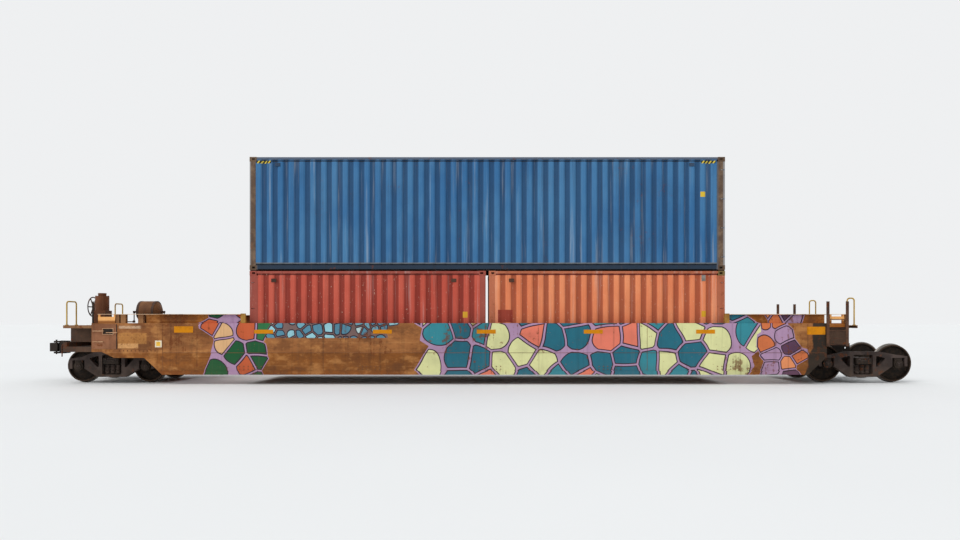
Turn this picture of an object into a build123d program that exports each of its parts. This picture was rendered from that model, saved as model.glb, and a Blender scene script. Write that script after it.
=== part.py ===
from build123d import *
import os

# Well unit of an articulated double-stack wagon, carrying two short boxes and a long one.
# X runs along the train, the near side faces -Y, and Z is up from the foot of the wheel flanges.
# All sizes are in millimetres. Levels are above the rail and places are from the middle of the well.

# Wheels and axles
flange_depth = 28
tread_radius_left = 419
tread_radius_right = 482.6
wheel_back_to_back = 1349
rim_width = 145
rim_thickness = 38
rim_taper = 4
plate_thickness = 26
plate_dish = 75
hub_radius = 135
hub_length = 180
hub_proud = 10
axle_seat_radius = 105
axle_body_radius = 84
axle_guard_radius = 93
journal_radius = 75
end_cap_radius = 83
end_cap_thickness = 18
running_gap = 0.05
pin_gap = 1
bend_ratio = 4
seat_gap = 0.3

# Trucks
wheelbase_left = 1727
wheelbase_right = 1829
journal_half_gauge = 990
cup_radius = 118
cup_length = 160
adapter_thickness = 30
adapter_half_length = 98
adapter_half_width = 60
frame_thickness = 150
frame_web = 60
frame_flange = 38
frame_top_level = 790
frame_top_half = 440
frame_foot_level = 137
frame_foot_half = 360
frame_jaw_gap = 40
frame_end_wall = 72
frame_end_crown = 85
frame_jaw_drop = 70
window_half = 250
window_foot = 200
window_top = 712
window_corner = 40
side_window_inner = 335
side_window_outer = 590
side_window_top = 690
side_window_low = 350
side_window_slope = 70
side_window_corner = 30
bolster_half_width = 195
bolster_end_reach = 45
bolster_depth = 155
bolster_belly = 70
wedge_gap = 8
bowl_radius = 178
bowl_level = 654
bowl_wall = 22
bowl_depth = 25
bowl_gap = 4
spring_radius = 62
spring_spacing = 136
shoe_gap = 12
shoe_thickness = 42
shoe_width = 88
shoe_slope = 0.42
shoe_offset = 765
brake_head_depth = 50
beam_level = 330
beam_depth = 70
beam_width = 55

# Car sides
rail_level = flange_depth
well_half = 8120
well_inner_half_width = 1330
sheet_thickness = 10
chord_width = 110
bottom_chord_proud = 15
side_foot = 225
bottom_chord_height = 95
chord_wall = 10
side_top = 1530
top_chord_height = 100
raised_top = 1750
raised_flange = 10
raised_inset = 60
walkway_thickness = 10
walkway_inner = 1225
walkway_overhang = 10
step_depth = 60
step_leg = 40
full_depth_half = 8170
slant_run = 460
end_foot = 650
end_foot_run = 760
end_step = 150
end_step_run = 310
right_end_foot = 860
side_left_end = 9960
side_right_end = 8650
chord_right_end = 9200
end_panel_foot = 1000
body_left_end = 10680
raised_clearance = 94
raised_web_left = 8600
raised_web_right = 8620
walkway_left_end = 9800
post_thickness = 12
posts_per_side = 9
post_pitch = 1960

# Well floor, ends and decks
bearer_depth = 60
load_floor = 280
bearer_wall = 8
middle_bearer_half = 420
end_bearer_half = 230
end_bearer_inset = 150
light_bearer_half = 90
bulkhead_thickness = 12
stiffener_depth = 60
stiffener_places = (-1000, -500, 500, 1000)
deck_top = 1475
deck_thickness = 12
deck_edge_depth = 75
deck_right_end = 9620
walkway_posts = ((-9338, -9262), (-9222, -9098), (-8782, -8655), (9115, 9190))
step_table = [
    # first end, last end, foot, top
    (-9794, -9364, 1530, 1690),
    (8737, 9091, 1620, 1700),
]
guide_width = 120
guide_head = 40
guide_rise = 25
left_truck_x = 9650
right_truck_x = 9780
sill_half_width = 180
sill_wall = 12
sill_foot = 745
sill_top = 1045
sill_web_half = 90
body_bolster_half = 260
body_bolster_foot = 880
body_bolster_height = 300
end_sill_foot = 800
end_sill_depth = 90
end_sill_step = 1100
end_sill_bridge = 930
end_post_place = 520
end_post_half = 40
end_beam_length = 250
end_beam_height = 240

# Ladders at the right end: stiles with rungs between them
stile_width = 70
stile_thickness = 25
stile_foot = 945
stile_top = 2080
ladder_first = 8660
ladder_last = 9150
rung_radius = 10
rung_levels = (985, 1150, 1340, 1620)
ladder_stand_off = 25

# Grab irons and rails at the left end
grab_table = [
    # first end, last end, level
    (-9900, -9640, 1330),
    (-9560, -9300, 1290),
    (-9900, -9640, 1060),
]
grab_stand_off = 60
rail_post_radius = 17
end_rail_top = 2080
end_rail_inset = 60
end_rail_spread = 420
hoop_inset = 60
hoop_width = 180
hoop_height = 700

# Articulation casting
arm_half = 200
ear_thickness = 70
ear_reach = 110
ear_root = 120
ear_top_drop = 60
ear_bore_radius = 32
ear_level = 860

# Coupler
coupler_height = 876
coupler_reach = 11800
coupler_pin_x = 10300
coupler_pin_radius = 40
coupler_tail = 90
shank_half_width = 68
shank_half_height = 72
head_length = 380
head_half_height = 170
head_half_back = 150
shank_overlap = 40
guard_root = 60
guard_reach = 300
knuckle_swing = 100
lug_gap = 10
knuckle_lug_radius = 65
knuckle_nose = 90
knuckle_nose_y = 40
knuckle_tail = 58
knuckle_back = 68
knuckle_half_height = 115
knuckle_pin_radius = 20
knuckle_pin_back = 150
knuckle_pin_side = 115
carrier_length = 60

# Air brake gear and hand brake
tank_radius = 280
tank_length = 600
tank_dome = 110
tank_x = -8816
tank_y = -760
tank_level = 1825
saddle_half = 25
saddle_spread = 190
saddle_share = 0.6
valve_x = -9994
valve_y = -880
valve_size = 330
valve_height = 760
hand_wheel_radius = 270
hand_wheel_rim = 14
hand_brake_y = -500
hand_brake_inset = 240
hand_brake_level = 1960
hand_brake_box = 200
lever_radius = 14
lever_stand_off = 60
lever_drop = 120
mast_radius = 22
mast_x = -9957

# Freight boxes
box_width = 2438
long_box_length = 12192
long_box_height = 2896
short_box_height = 2591
short_box_gap = 76
load_shift = 60
stack_gap = 25
lock_half_length = 80
lock_half_width = 65
casting_length = 178
casting_width = 162
casting_height = 118
casting_hole_length = 124.5
casting_hole_width = 63.5
casting_hole_inset = 103.5
casting_hole_side = 89.5
casting_proud = 4
side_hole_half_length = 40
side_hole_half_height = 26
door_post = 210
front_post = 155
post_depth = 70
post_flange_thickness = 12
post_flange_length = 130
rail_size = 60
rail_drop = 6
low_rail_lift = 12
low_rail_height = 106
low_rail_width = 60
header_depth = 96
corrugation_pitch = 278
corrugation_depth = 36
corrugation_flat = 70
corrugation_slope = 69
panel_inset = 6
panel_thickness = 44
front_inset = 30
roof_thickness = 34
roof_pitch = 209
roof_depth = 16
roof_flat = 90
roof_slope = 14
floor_thickness = 30
floor_top = 160
member_pitch = 600
member_width = 45
door_thickness = 50
door_recess = 75
door_edge_inset = 84
door_meeting_gap = 24
door_sill_gap = 12
door_fields = 5
door_field_margin = 100
door_field_gap = 150
door_field_depth = 30
hinge_end_inset = 14
hinge_side_inset = 16
hinge_pin_radius = 7
hinge_knuckle_radius = 12
hinge_leaf_height = 16
hinge_leaf_width = 25
hinge_lug_height = 16
hinge_levels = (0.08, 0.36, 0.64, 0.92)
hinge_notch_clearance = 5
hinge_blade_gap = 6
lock_rod_radius = 17
lock_rod_gap = 6
lock_rod_places = ((250, 420), (800, -420))
rod_bracket_half = 40
rod_bracket_levels = (0.06, 0.36, 0.66, 0.94)
handle_level = 1050
handle_step = 0.15
handle_catch = 0.8
handle_thickness = 12

# Worked out from the sizes above
raised_flange_foot = raised_top - raised_flange
flange_radius_right = tread_radius_right + flange_depth
right_reach = right_truck_x + wheelbase_right / 2 + flange_radius_right
well_x = (coupler_reach - right_reach) / 2
sheet_inner = well_inner_half_width + chord_width
sheet_outer = sheet_inner + sheet_thickness
chord_foot = side_top - top_chord_height
box_foot = rail_level + load_floor
load_x = well_x + load_shift
short_box_length = (long_box_length - short_box_gap) / 2
raised_start = long_box_length / 2 + raised_clearance
long_box_foot = box_foot + short_box_height + stack_gap
deck_foot = deck_top - deck_thickness
shoulder = journal_half_gauge - cup_length / 2
axle_half_length = journal_half_gauge + cup_length / 2 + seat_gap + end_cap_thickness
centre_plate_foot = bowl_level - bowl_depth + seat_gap
centre_plate_radius = bowl_radius - bowl_gap

parts_made = []
CENTRED_UP = (Align.CENTER, Align.CENTER, Align.MIN)
CORNER = (Align.MIN, Align.MIN, Align.MIN)


def keep(builder, name):
    """Label a finished piece and remember it for writing."""
    builder.part.label = name
    parts_made.append((name, builder))


def span(first, second):
    """Put two places in rising order."""
    return min(first, second), max(first, second)


def block(x_range, y_range, z_range, mode=Mode.ADD):
    """Add or cut a block between ranges, in the part being built."""
    low = [min(pair) for pair in (x_range, y_range, z_range)]
    size = [max(pair) - min(pair) for pair in (x_range, y_range, z_range)]
    with Locations(tuple(low)):
        Box(*size, align=CORNER, mode=mode)


def car_block(x_range, y_range, z_range, mode=Mode.ADD):
    """Place a block by its ranges from the middle of the well and from the rail."""
    block(
        [well_x + x for x in x_range],
        y_range,
        [rail_level + z for z in z_range],
        mode,
    )


def car_tube(x_range, y_range, z_range, wall):
    """Add a closed box tube, hollow by its wall."""
    car_block(x_range, y_range, z_range)
    inner = [(min(pair) + wall, max(pair) - wall) for pair in (x_range, y_range, z_range)]
    car_block(*inner, Mode.SUBTRACT)


def rod(start, length, radius, turn, mode=Mode.ADD):
    """Add a round bar centred on a place: turn is its rotation about X, Y and Z."""
    with Locations(Location(start, turn)):
        Cylinder(radius, length, mode=mode)


ALONG_X = (0, 90, 0)
ALONG_Y = (90, 0, 0)
UPRIGHT = (0, 0, 0)


def bent_rod(points, radius):
    """Add a round rod that follows points, with rounded corners."""
    with BuildLine() as line:
        FilletPolyline(*points, radius=radius * bend_ratio)
    with BuildSketch(Plane(line.wire() @ 0, z_dir=line.wire() % 0)) as section:
        Circle(radius)
    sweep(section.sketch, path=line.wire())


def upright_plane(centre_x, y):
    """Give an upright plane that faces -Y, with its own zero at the given place."""
    return Plane(origin=(centre_x, y, 0), x_dir=(1, 0, 0), z_dir=(0, -1, 0))


def car_outline(points, y_inner, thickness):
    """Add a plate of an outline of (x, level) points, from y_inner outwards on the near side."""
    with BuildSketch(upright_plane(well_x, -y_inner)) as outline:
        with BuildLine():
            Polyline(*[(x, rail_level + level) for x, level in points], close=True)
        make_face()
    extrude(outline.sketch, amount=thickness)


# Side sheets: full depth over the well, with a raised foot over each truck
slope = (end_foot - side_foot) / slant_run
foot_line = side_foot + bottom_chord_height
foot_half = full_depth_half + bottom_chord_height / slope
sheet_points = [
    (-foot_half, foot_line),
    (foot_half, foot_line),
    (side_right_end, side_foot + (side_right_end - full_depth_half) * slope),
    (side_right_end, side_top),
    (-side_left_end, side_top),
    (-side_left_end, end_foot + end_step),
    (-full_depth_half - slant_run - end_foot_run - end_step_run, end_foot + end_step),
    (-full_depth_half - slant_run - end_foot_run, end_foot),
    (-full_depth_half - slant_run, end_foot),
]
with BuildPart() as side_sheets:
    car_outline(sheet_points, sheet_inner, sheet_thickness)
    mirror(about=Plane.XZ)
keep(side_sheets, "side_sheets")

# Bottom chords: tubes under the sheets that stand a little proud of them
chord_points = [
    (-full_depth_half, side_foot),
    (full_depth_half, side_foot),
    (foot_half, foot_line),
    (-foot_half, foot_line),
]
chord_depth = chord_width + sheet_thickness + bottom_chord_proud
chord_outer = well_inner_half_width + chord_depth
with BuildPart() as bottom_chords:
    car_outline(chord_points, well_inner_half_width, chord_depth)
    car_block(
        (-foot_half, foot_half),
        (-chord_outer + chord_wall, -well_inner_half_width - chord_wall),
        (side_foot + chord_wall, foot_line - chord_wall),
        Mode.SUBTRACT,
    )
    mirror(about=Plane.XZ)
keep(bottom_chords, "bottom_chords")

# Top chords: tubes inside the upper edge of the sheets
with BuildPart() as top_chords:
    car_tube(
        (-side_left_end, chord_right_end),
        (-sheet_inner, -well_inner_half_width),
        (chord_foot, side_top),
        chord_wall,
    )
    mirror(about=Plane.XZ)
keep(top_chords, "top_chords")

# Raised ends: channels on the top chords, set in under a wide flange
raised_outer = sheet_outer - raised_inset
with BuildPart() as raised_chords:
    for run in ((-raised_web_left, -raised_start), (raised_start, raised_web_right)):
        car_block(run, (-raised_outer, -raised_outer + raised_flange), (side_top, raised_top))
        car_block(run, (-raised_outer, -well_inner_half_width), (side_top, side_top + raised_flange))
        car_block(run, (-sheet_outer, -well_inner_half_width), (raised_flange_foot, raised_top))
    mirror(about=Plane.XZ)
keep(raised_chords, "raised_chords")

# Side posts: ribs between the chords, behind the sheet
with BuildPart() as side_posts:
    with Locations((well_x, 0, rail_level + foot_line)):
        with GridLocations(post_pitch, 0, posts_per_side, 1):
            with Locations((-post_thickness / 2, -sheet_inner, 0)):
                Box(post_thickness, chord_width, chord_foot - foot_line, align=CORNER)
    mirror(about=Plane.XZ)
keep(side_posts, "side_posts")

# Cross bearers: flat box beams that carry the castings of the load
bearer_table = [
    # middle, half width
    (load_shift, middle_bearer_half),
    (load_shift - long_box_length / 2 + end_bearer_inset, end_bearer_half),
    (load_shift + long_box_length / 2 - end_bearer_inset, end_bearer_half),
    (load_shift - long_box_length / 4, light_bearer_half),
    (load_shift + long_box_length / 4, light_bearer_half),
]
with BuildPart() as cross_bearers:
    for middle, half in bearer_table:
        car_tube(
            (middle - half, middle + half),
            (-well_inner_half_width, well_inner_half_width),
            (load_floor - bearer_depth, load_floor),
            bearer_wall,
        )
keep(cross_bearers, "cross_bearers")

# Bulkheads: the end walls of the well, each with upright stiffeners behind
bulkhead_back = well_half + bulkhead_thickness
stiffener_back = bulkhead_back + stiffener_depth
with BuildPart() as bulkheads:
    for side in (-1, 1):
        car_block(
            (side * well_half, side * bulkhead_back),
            (-well_inner_half_width, well_inner_half_width),
            (side_foot, deck_foot),
        )
        for y in stiffener_places:
            car_block(
                (side * bulkhead_back, side * stiffener_back),
                (y - post_thickness / 2, y + post_thickness / 2),
                (side_foot, deck_foot),
            )
keep(bulkheads, "bulkheads")

# End decks: plates over the trucks with a turned-down edge at the left end
with BuildPart() as end_decks:
    car_block(
        (-body_left_end, -well_half), (-well_inner_half_width, well_inner_half_width), (deck_foot, deck_top)
    )
    car_block(
        (-body_left_end, -side_left_end), (-sheet_outer, sheet_outer), (deck_foot, deck_top)
    )
    for side in (-1, 1):
        car_block(
            (-body_left_end, -side_left_end),
            (side * (sheet_outer - deck_thickness), side * sheet_outer),
            (deck_top - deck_edge_depth, deck_top),
        )
    car_block(
        (well_half, chord_right_end), (-well_inner_half_width, well_inner_half_width), (deck_foot, deck_top)
    )
    car_block(
        (chord_right_end, deck_right_end), (-end_sill_step, end_sill_step), (deck_foot, deck_top)
    )
    car_block(
        (deck_right_end - deck_thickness, deck_right_end),
        (-end_sill_step, end_sill_step),
        (deck_top - deck_edge_depth, deck_top),
    )
keep(end_decks, "end_decks")

# Body bolster: a box beam across the left end, with a web up to the deck
with BuildPart() as body_bolster:
    car_block(
        (-left_truck_x - body_bolster_half, -left_truck_x + body_bolster_half),
        (sill_half_width, sheet_inner),
        (body_bolster_foot, body_bolster_foot + body_bolster_height),
    )
    car_block(
        (-left_truck_x - post_thickness, -left_truck_x + post_thickness),
        (sill_half_width, well_inner_half_width),
        (body_bolster_foot + body_bolster_height, deck_foot),
    )
    mirror(about=Plane.XZ)
keep(body_bolster, "body_bolster")

# Draft sill: an open-bottomed box along the middle of the left end, with the coupler's pin
with BuildPart() as draft_sill:
    car_block(
        (-body_left_end, -stiffener_back), (-sill_half_width, sill_half_width), (sill_foot, sill_top)
    )
    car_block(
        (-body_left_end, -left_truck_x - body_bolster_half),
        (-sill_half_width + sill_wall, sill_half_width - sill_wall),
        (sill_foot, sill_top - sill_wall),
        Mode.SUBTRACT,
    )
    car_block(
        (-body_left_end, -stiffener_back), (-sill_web_half, sill_web_half), (sill_top, deck_foot)
    )
    car_block(
        (-body_left_end, -body_left_end + carrier_length),
        (-sill_half_width, sill_half_width),
        (sill_foot, coupler_height - shank_half_height - seat_gap),
    )
    with Locations((well_x - coupler_pin_x, 0, rail_level + sill_foot)):
        Cylinder(coupler_pin_radius, sill_top - sill_wall - sill_foot, align=CENTRED_UP)
    with Locations((well_x - left_truck_x, 0, rail_level + centre_plate_foot)):
        Cylinder(centre_plate_radius, sill_foot - centre_plate_foot, align=CENTRED_UP)
keep(draft_sill, "draft_sill")

# End sill: the stepped cross beam at the left end, its posts and the side sill beside it
end_sill_run = (-body_left_end, -body_left_end + end_sill_depth)
with BuildPart() as end_sill:
    car_block(end_sill_run, (sill_half_width, end_sill_step), (end_sill_bridge, sill_top))
    car_block(end_sill_run, (end_sill_step, sheet_outer), (end_sill_foot, sill_top))
    car_block(
        end_sill_run,
        (end_post_place - end_post_half, end_post_place + end_post_half),
        (sill_top, deck_foot),
    )
    car_block(
        (-body_left_end + end_sill_depth, -side_left_end),
        (sheet_inner, sheet_outer),
        (end_sill_foot, sill_top - chord_width),
    )
    car_block(
        (-body_left_end, -side_left_end),
        (end_sill_step, end_sill_step + post_thickness),
        (sill_top, deck_foot),
    )
    mirror(about=Plane.XZ)
keep(end_sill, "end_sill")

# Articulation casting: the arm to the shared truck, with its pin ears and the end cross beam
with BuildPart() as articulation:
    arm_end = right_truck_x - ear_root
    car_block((stiffener_back, arm_end), (-arm_half, arm_half), (sill_foot, sill_top))
    with Locations((well_x + right_truck_x, 0, rail_level + centre_plate_foot)):
        Cylinder(centre_plate_radius, sill_foot - centre_plate_foot, align=CENTRED_UP)
    car_block(
        (arm_end, right_truck_x + ear_reach), (-arm_half, arm_half), (sill_foot, sill_top - ear_top_drop)
    )
    car_block(
        (arm_end, right_truck_x + ear_reach),
        (-arm_half + ear_thickness, arm_half - ear_thickness),
        (sill_foot + ear_thickness / 2, sill_top - ear_top_drop),
        Mode.SUBTRACT,
    )
    rod(
        (well_x + right_truck_x, 0, rail_level + ear_level),
        2 * arm_half + ear_thickness,
        ear_bore_radius,
        ALONG_Y,
        Mode.SUBTRACT,
    )
keep(articulation, "articulation")

# Right end frame: a cross beam on the casting, set-in side panels and a web under the deck
with BuildPart() as end_frame:
    car_block(
        (chord_right_end - end_beam_length, chord_right_end),
        (-well_inner_half_width, well_inner_half_width),
        (sill_top, sill_top + end_beam_height),
    )
    for side in (-1, 1):
        car_block(
            (side_right_end, chord_right_end),
            (side * well_inner_half_width, side * (well_inner_half_width + sheet_thickness)),
            (end_panel_foot, chord_foot),
        )
    car_block(
        (stiffener_back, deck_right_end - deck_edge_depth),
        (-post_thickness, post_thickness),
        (sill_top, deck_foot),
    )
keep(end_frame, "end_frame")

# Walkways: pale plates on the raised ends and the posts that hold them beyond
walk_outer = sheet_outer + walkway_overhang
with BuildPart() as walkways:
    for run in ((-walkway_left_end, -raised_start), (raised_start, chord_right_end)):
        car_block(run, (-walk_outer, -walkway_inner), (raised_top, raised_top + walkway_thickness))
    for run in walkway_posts:
        car_block(run, (-sheet_outer, -sheet_outer + chord_width), (side_top, raised_top))
    for first, last, foot, top in step_table:
        car_block((first, last), (-sheet_outer, -sheet_inner + step_depth), (foot, top))
        for x in (first, last - step_leg):
            car_block(
                (x, x + step_leg), (-sheet_inner, -sheet_inner + step_depth), (side_top, raised_top)
            )
    mirror(about=Plane.XZ)
keep(walkways, "walkways")

# Ladders: stiles and rungs at the right end, grab irons at the left
stile_inner = sheet_outer + ladder_stand_off
rung_y = stile_inner + stile_thickness / 2
with BuildPart() as ladders:
    for x in (ladder_first, ladder_last):
        car_block(
            (x - stile_width / 2, x + stile_width / 2),
            (-stile_inner - stile_thickness, -stile_inner),
            (stile_foot, stile_top),
        )
        car_block(
            (max(x - stile_width / 2, side_right_end), x + stile_width / 2),
            (-stile_inner, -sheet_inner),
            (chord_foot, side_top),
        )
    for level in rung_levels:
        rod(
            (well_x + (ladder_first + ladder_last) / 2, -rung_y, rail_level + level),
            ladder_last - ladder_first,
            rung_radius,
            ALONG_X,
        )
    for first, last, level in grab_table:
        bar_y = sheet_outer + grab_stand_off
        rod(
            (well_x + (first + last) / 2, -bar_y, rail_level + level), last - first, rung_radius, ALONG_X
        )
        for x in (first + rung_radius, last - rung_radius):
            car_block(
                (x - rung_radius, x + rung_radius),
                (-bar_y, -sheet_outer),
                (level - rung_radius, level + rung_radius),
            )
    mirror(about=Plane.XZ)
keep(ladders, "ladders")

# End rails: upright bars and a top rail at the left end
with BuildPart() as end_rails:
    rail_x = well_x - body_left_end + end_rail_inset
    rail_foot = rail_level + deck_top
    rail_height = end_rail_top - deck_top
    rail_y = -sheet_outer + end_rail_inset
    bent_rod(
        [
            (rail_x, rail_y, rail_foot),
            (rail_x, rail_y, rail_foot + rail_height),
            (rail_x, rail_y + end_rail_spread, rail_foot + rail_height),
            (rail_x, rail_y + end_rail_spread, rail_foot),
        ],
        rail_post_radius,
    )
    with Locations((well_x + mast_x, -sheet_outer + end_rail_inset, rail_level + side_top)):
        Cylinder(mast_radius, end_rail_top - side_top, align=CENTRED_UP)
    hoop_x = well_x + deck_right_end - hoop_inset
    hoop_y = -end_sill_step + hoop_inset
    bent_rod(
        [
            (hoop_x, hoop_y, rail_foot),
            (hoop_x, hoop_y, rail_foot + hoop_height),
            (hoop_x - hoop_width, hoop_y, rail_foot + hoop_height),
            (hoop_x - hoop_width, hoop_y, rail_foot),
        ],
        rail_post_radius,
    )
    mirror(about=Plane.XZ)
keep(end_rails, "end_rails")

# Box guides: upright wedges on the top chord beside the load
with BuildPart() as box_guides:
    for guide_x in (-raised_start, raised_start - guide_width):
        with BuildSketch(Plane.YZ.offset(well_x + guide_x)):
            with BuildLine():
                Polyline(
                    (-sheet_inner, rail_level + side_top),
                    (-sheet_inner, rail_level + raised_top + guide_rise),
                    (-sheet_inner + guide_head, rail_level + raised_top + guide_rise),
                    (-well_inner_half_width, rail_level + side_top),
                    close=True,
                )
            make_face()
        extrude(amount=guide_width)
    mirror(about=Plane.XZ)
keep(box_guides, "box_guides")

# Air reservoir: a domed tank on two saddles
with BuildPart() as air_reservoir:
    with BuildSketch(upright_plane(well_x + tank_x, tank_y)):
        with BuildLine():
            Polyline(
                (0, rail_level + tank_level),
                (-tank_length / 2, rail_level + tank_level),
            )
            RadiusArc(
                (-tank_length / 2, rail_level + tank_level),
                (-tank_length / 2 + tank_dome, rail_level + tank_level + tank_radius),
                tank_radius,
            )
            Polyline(
                (-tank_length / 2 + tank_dome, rail_level + tank_level + tank_radius),
                (0, rail_level + tank_level + tank_radius),
                (0, rail_level + tank_level),
            )
        make_face()
    revolve(axis=Axis((well_x + tank_x, tank_y, rail_level + tank_level), (1, 0, 0)))
    mirror(about=Plane.YZ.offset(well_x + tank_x))
    for side in (-1, 1):
        car_block(
            (tank_x + side * saddle_spread - saddle_half, tank_x + side * saddle_spread + saddle_half),
            (tank_y - tank_radius * saddle_share, tank_y + tank_radius * saddle_share),
            (deck_top, tank_level - tank_radius * saddle_share),
        )
keep(air_reservoir, "air_reservoir")

# Brake valve: a stand on the deck with the valve's body and its two round ends
with BuildPart() as brake_valve:
    half_size = valve_size / 2
    car_block(
        (valve_x - half_size, valve_x + half_size),
        (valve_y - half_size, valve_y + half_size),
        (deck_top, deck_top + valve_height / 2),
    )
    with Locations((well_x + valve_x, valve_y, rail_level + deck_top + valve_height / 2)):
        Cylinder(half_size, valve_height / 2, align=CENTRED_UP)
    with Locations((well_x + valve_x, valve_y, rail_level + deck_top + valve_height)):
        Cylinder(half_size * 0.6, valve_height / 10, align=CENTRED_UP)
    rod(
        (well_x + valve_x, valve_y - half_size, rail_level + deck_top + valve_height / 4),
        valve_size / 2,
        valve_size / 4,
        ALONG_Y,
    )
keep(brake_valve, "brake_valve")

# Hand brake: a spoked wheel on a gear box at the left end of the deck
with BuildPart() as hand_brake:
    brake_x = -body_left_end + hand_brake_inset
    wheel_place = (well_x + brake_x, hand_brake_y, rail_level + hand_brake_level)
    box_half = hand_brake_box / 2
    car_block(
        (brake_x + hand_wheel_rim * 2, brake_x + hand_wheel_rim * 2 + box_half),
        (hand_brake_y - box_half, hand_brake_y + box_half),
        (deck_top, hand_brake_level + box_half),
    )
    with BuildSketch(Plane.YZ.offset(wheel_place[0] - hand_wheel_rim / 2)) as wheel:
        with Locations(wheel_place[1:]):
            Circle(hand_wheel_radius)
            Circle(hand_wheel_radius - 2 * hand_wheel_rim, mode=Mode.SUBTRACT)
            for turn in (0, 60, 120):
                Rectangle(2 * (hand_wheel_radius - hand_wheel_rim), 2 * hand_wheel_rim, rotation=turn)
            Circle(2 * hand_wheel_rim)
    extrude(wheel.sketch, amount=hand_wheel_rim)
    rod(wheel_place, hand_wheel_rim * 5, hand_wheel_rim, ALONG_X)
keep(hand_brake, "hand_brake")

# Uncoupling lever: a bent rod across the left end in two brackets
lever_x = -body_left_end - lever_stand_off
lever_level = (end_sill_bridge + sill_top) / 2
lever_outer = sheet_outer - end_rail_inset
with BuildPart() as uncoupling_lever:
    bent_rod(
        [
            (well_x + lever_x, -lever_outer, rail_level + end_sill_foot - lever_drop),
            (well_x + lever_x, -lever_outer, rail_level + lever_level),
            (well_x + lever_x, -end_post_half, rail_level + lever_level),
        ],
        lever_radius,
    )
    for y in (-end_sill_step, -end_post_place):
        car_block(
            (lever_x - lever_radius * 2, -body_left_end),
            (y - lever_radius, y + lever_radius),
            (lever_level - lever_radius * 2, lever_level + lever_radius * 2),
        )
keep(uncoupling_lever, "uncoupling_lever")

# Coupler: a shank in the draft sill and a head with a guard arm and two knuckle lugs
head_back = -coupler_reach + head_length
face_x = well_x - coupler_reach
coupler_z = rail_level + coupler_height
knuckle_x = face_x + knuckle_pin_back
knuckle_y = -knuckle_pin_side
throat_back = knuckle_x + knuckle_swing
with BuildPart() as coupler:
    car_block(
        (head_back - shank_overlap, -coupler_pin_x + coupler_tail),
        (-shank_half_width, shank_half_width),
        (coupler_height - shank_half_height, coupler_height + shank_half_height),
    )
    with BuildSketch(Plane.XY.offset(coupler_z - head_half_height)):
        with BuildLine():
            Polyline(
                (well_x + head_back, -head_half_back),
                (well_x + head_back, head_half_back),
                (face_x + guard_root, guard_reach),
                (face_x, guard_reach),
                (face_x + guard_root, guard_reach - guard_root),
                (face_x + 2 * guard_root, guard_reach - 3 * guard_root),
                (throat_back, 0),
                (throat_back, -head_half_back),
                close=True,
            )
        make_face()
        fillet(vertices().sort_by(Axis.X)[0:2], radius=guard_root / 4)
    extrude(amount=2 * head_half_height)
    for lug_foot in (-head_half_height, knuckle_half_height + lug_gap):
        with BuildSketch(Plane.XY.offset(coupler_z + lug_foot)):
            with BuildLine():
                Polyline(
                    (throat_back, knuckle_y - knuckle_lug_radius),
                    (knuckle_x, knuckle_y - knuckle_lug_radius),
                    (knuckle_x, knuckle_y + knuckle_lug_radius),
                    (throat_back, knuckle_y + knuckle_lug_radius),
                    close=True,
                )
            make_face()
            with Locations((knuckle_x, knuckle_y)):
                Circle(knuckle_lug_radius)
        extrude(amount=head_half_height - knuckle_half_height - lug_gap)
    with Locations((knuckle_x, knuckle_y, coupler_z)):
        Cylinder(knuckle_pin_radius + running_gap, 3 * head_half_height, mode=Mode.SUBTRACT)
    with Locations((well_x - coupler_pin_x, 0, coupler_z)):
        Cylinder(coupler_pin_radius + pin_gap, 3 * shank_half_height, mode=Mode.SUBTRACT)
keep(coupler, "coupler")

# Knuckle: the hooked jaw that turns on its pin between the coupler's lugs
with BuildPart() as knuckle:
    with BuildSketch(Plane.XY.offset(coupler_z - knuckle_half_height)):
        with BuildLine():
            Polyline(
                (face_x, knuckle_y - knuckle_back),
                (face_x, knuckle_nose_y - knuckle_nose / 2),
                (face_x + knuckle_nose / 2, knuckle_nose_y),
                (face_x + knuckle_nose, knuckle_nose_y - knuckle_nose / 2),
                (face_x + knuckle_nose, knuckle_y + knuckle_lug_radius),
                (knuckle_x + knuckle_tail, knuckle_y + knuckle_tail),
                (knuckle_x + knuckle_tail, knuckle_y - knuckle_tail),
                close=True,
            )
        make_face()
        fillet(vertices(), radius=knuckle_nose / 6)
    extrude(amount=2 * knuckle_half_height)
    with Locations((knuckle_x, knuckle_y, coupler_z)):
        Cylinder(knuckle_pin_radius, 2 * head_half_height + knuckle_nose / 2)
keep(knuckle, "knuckle")


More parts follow.
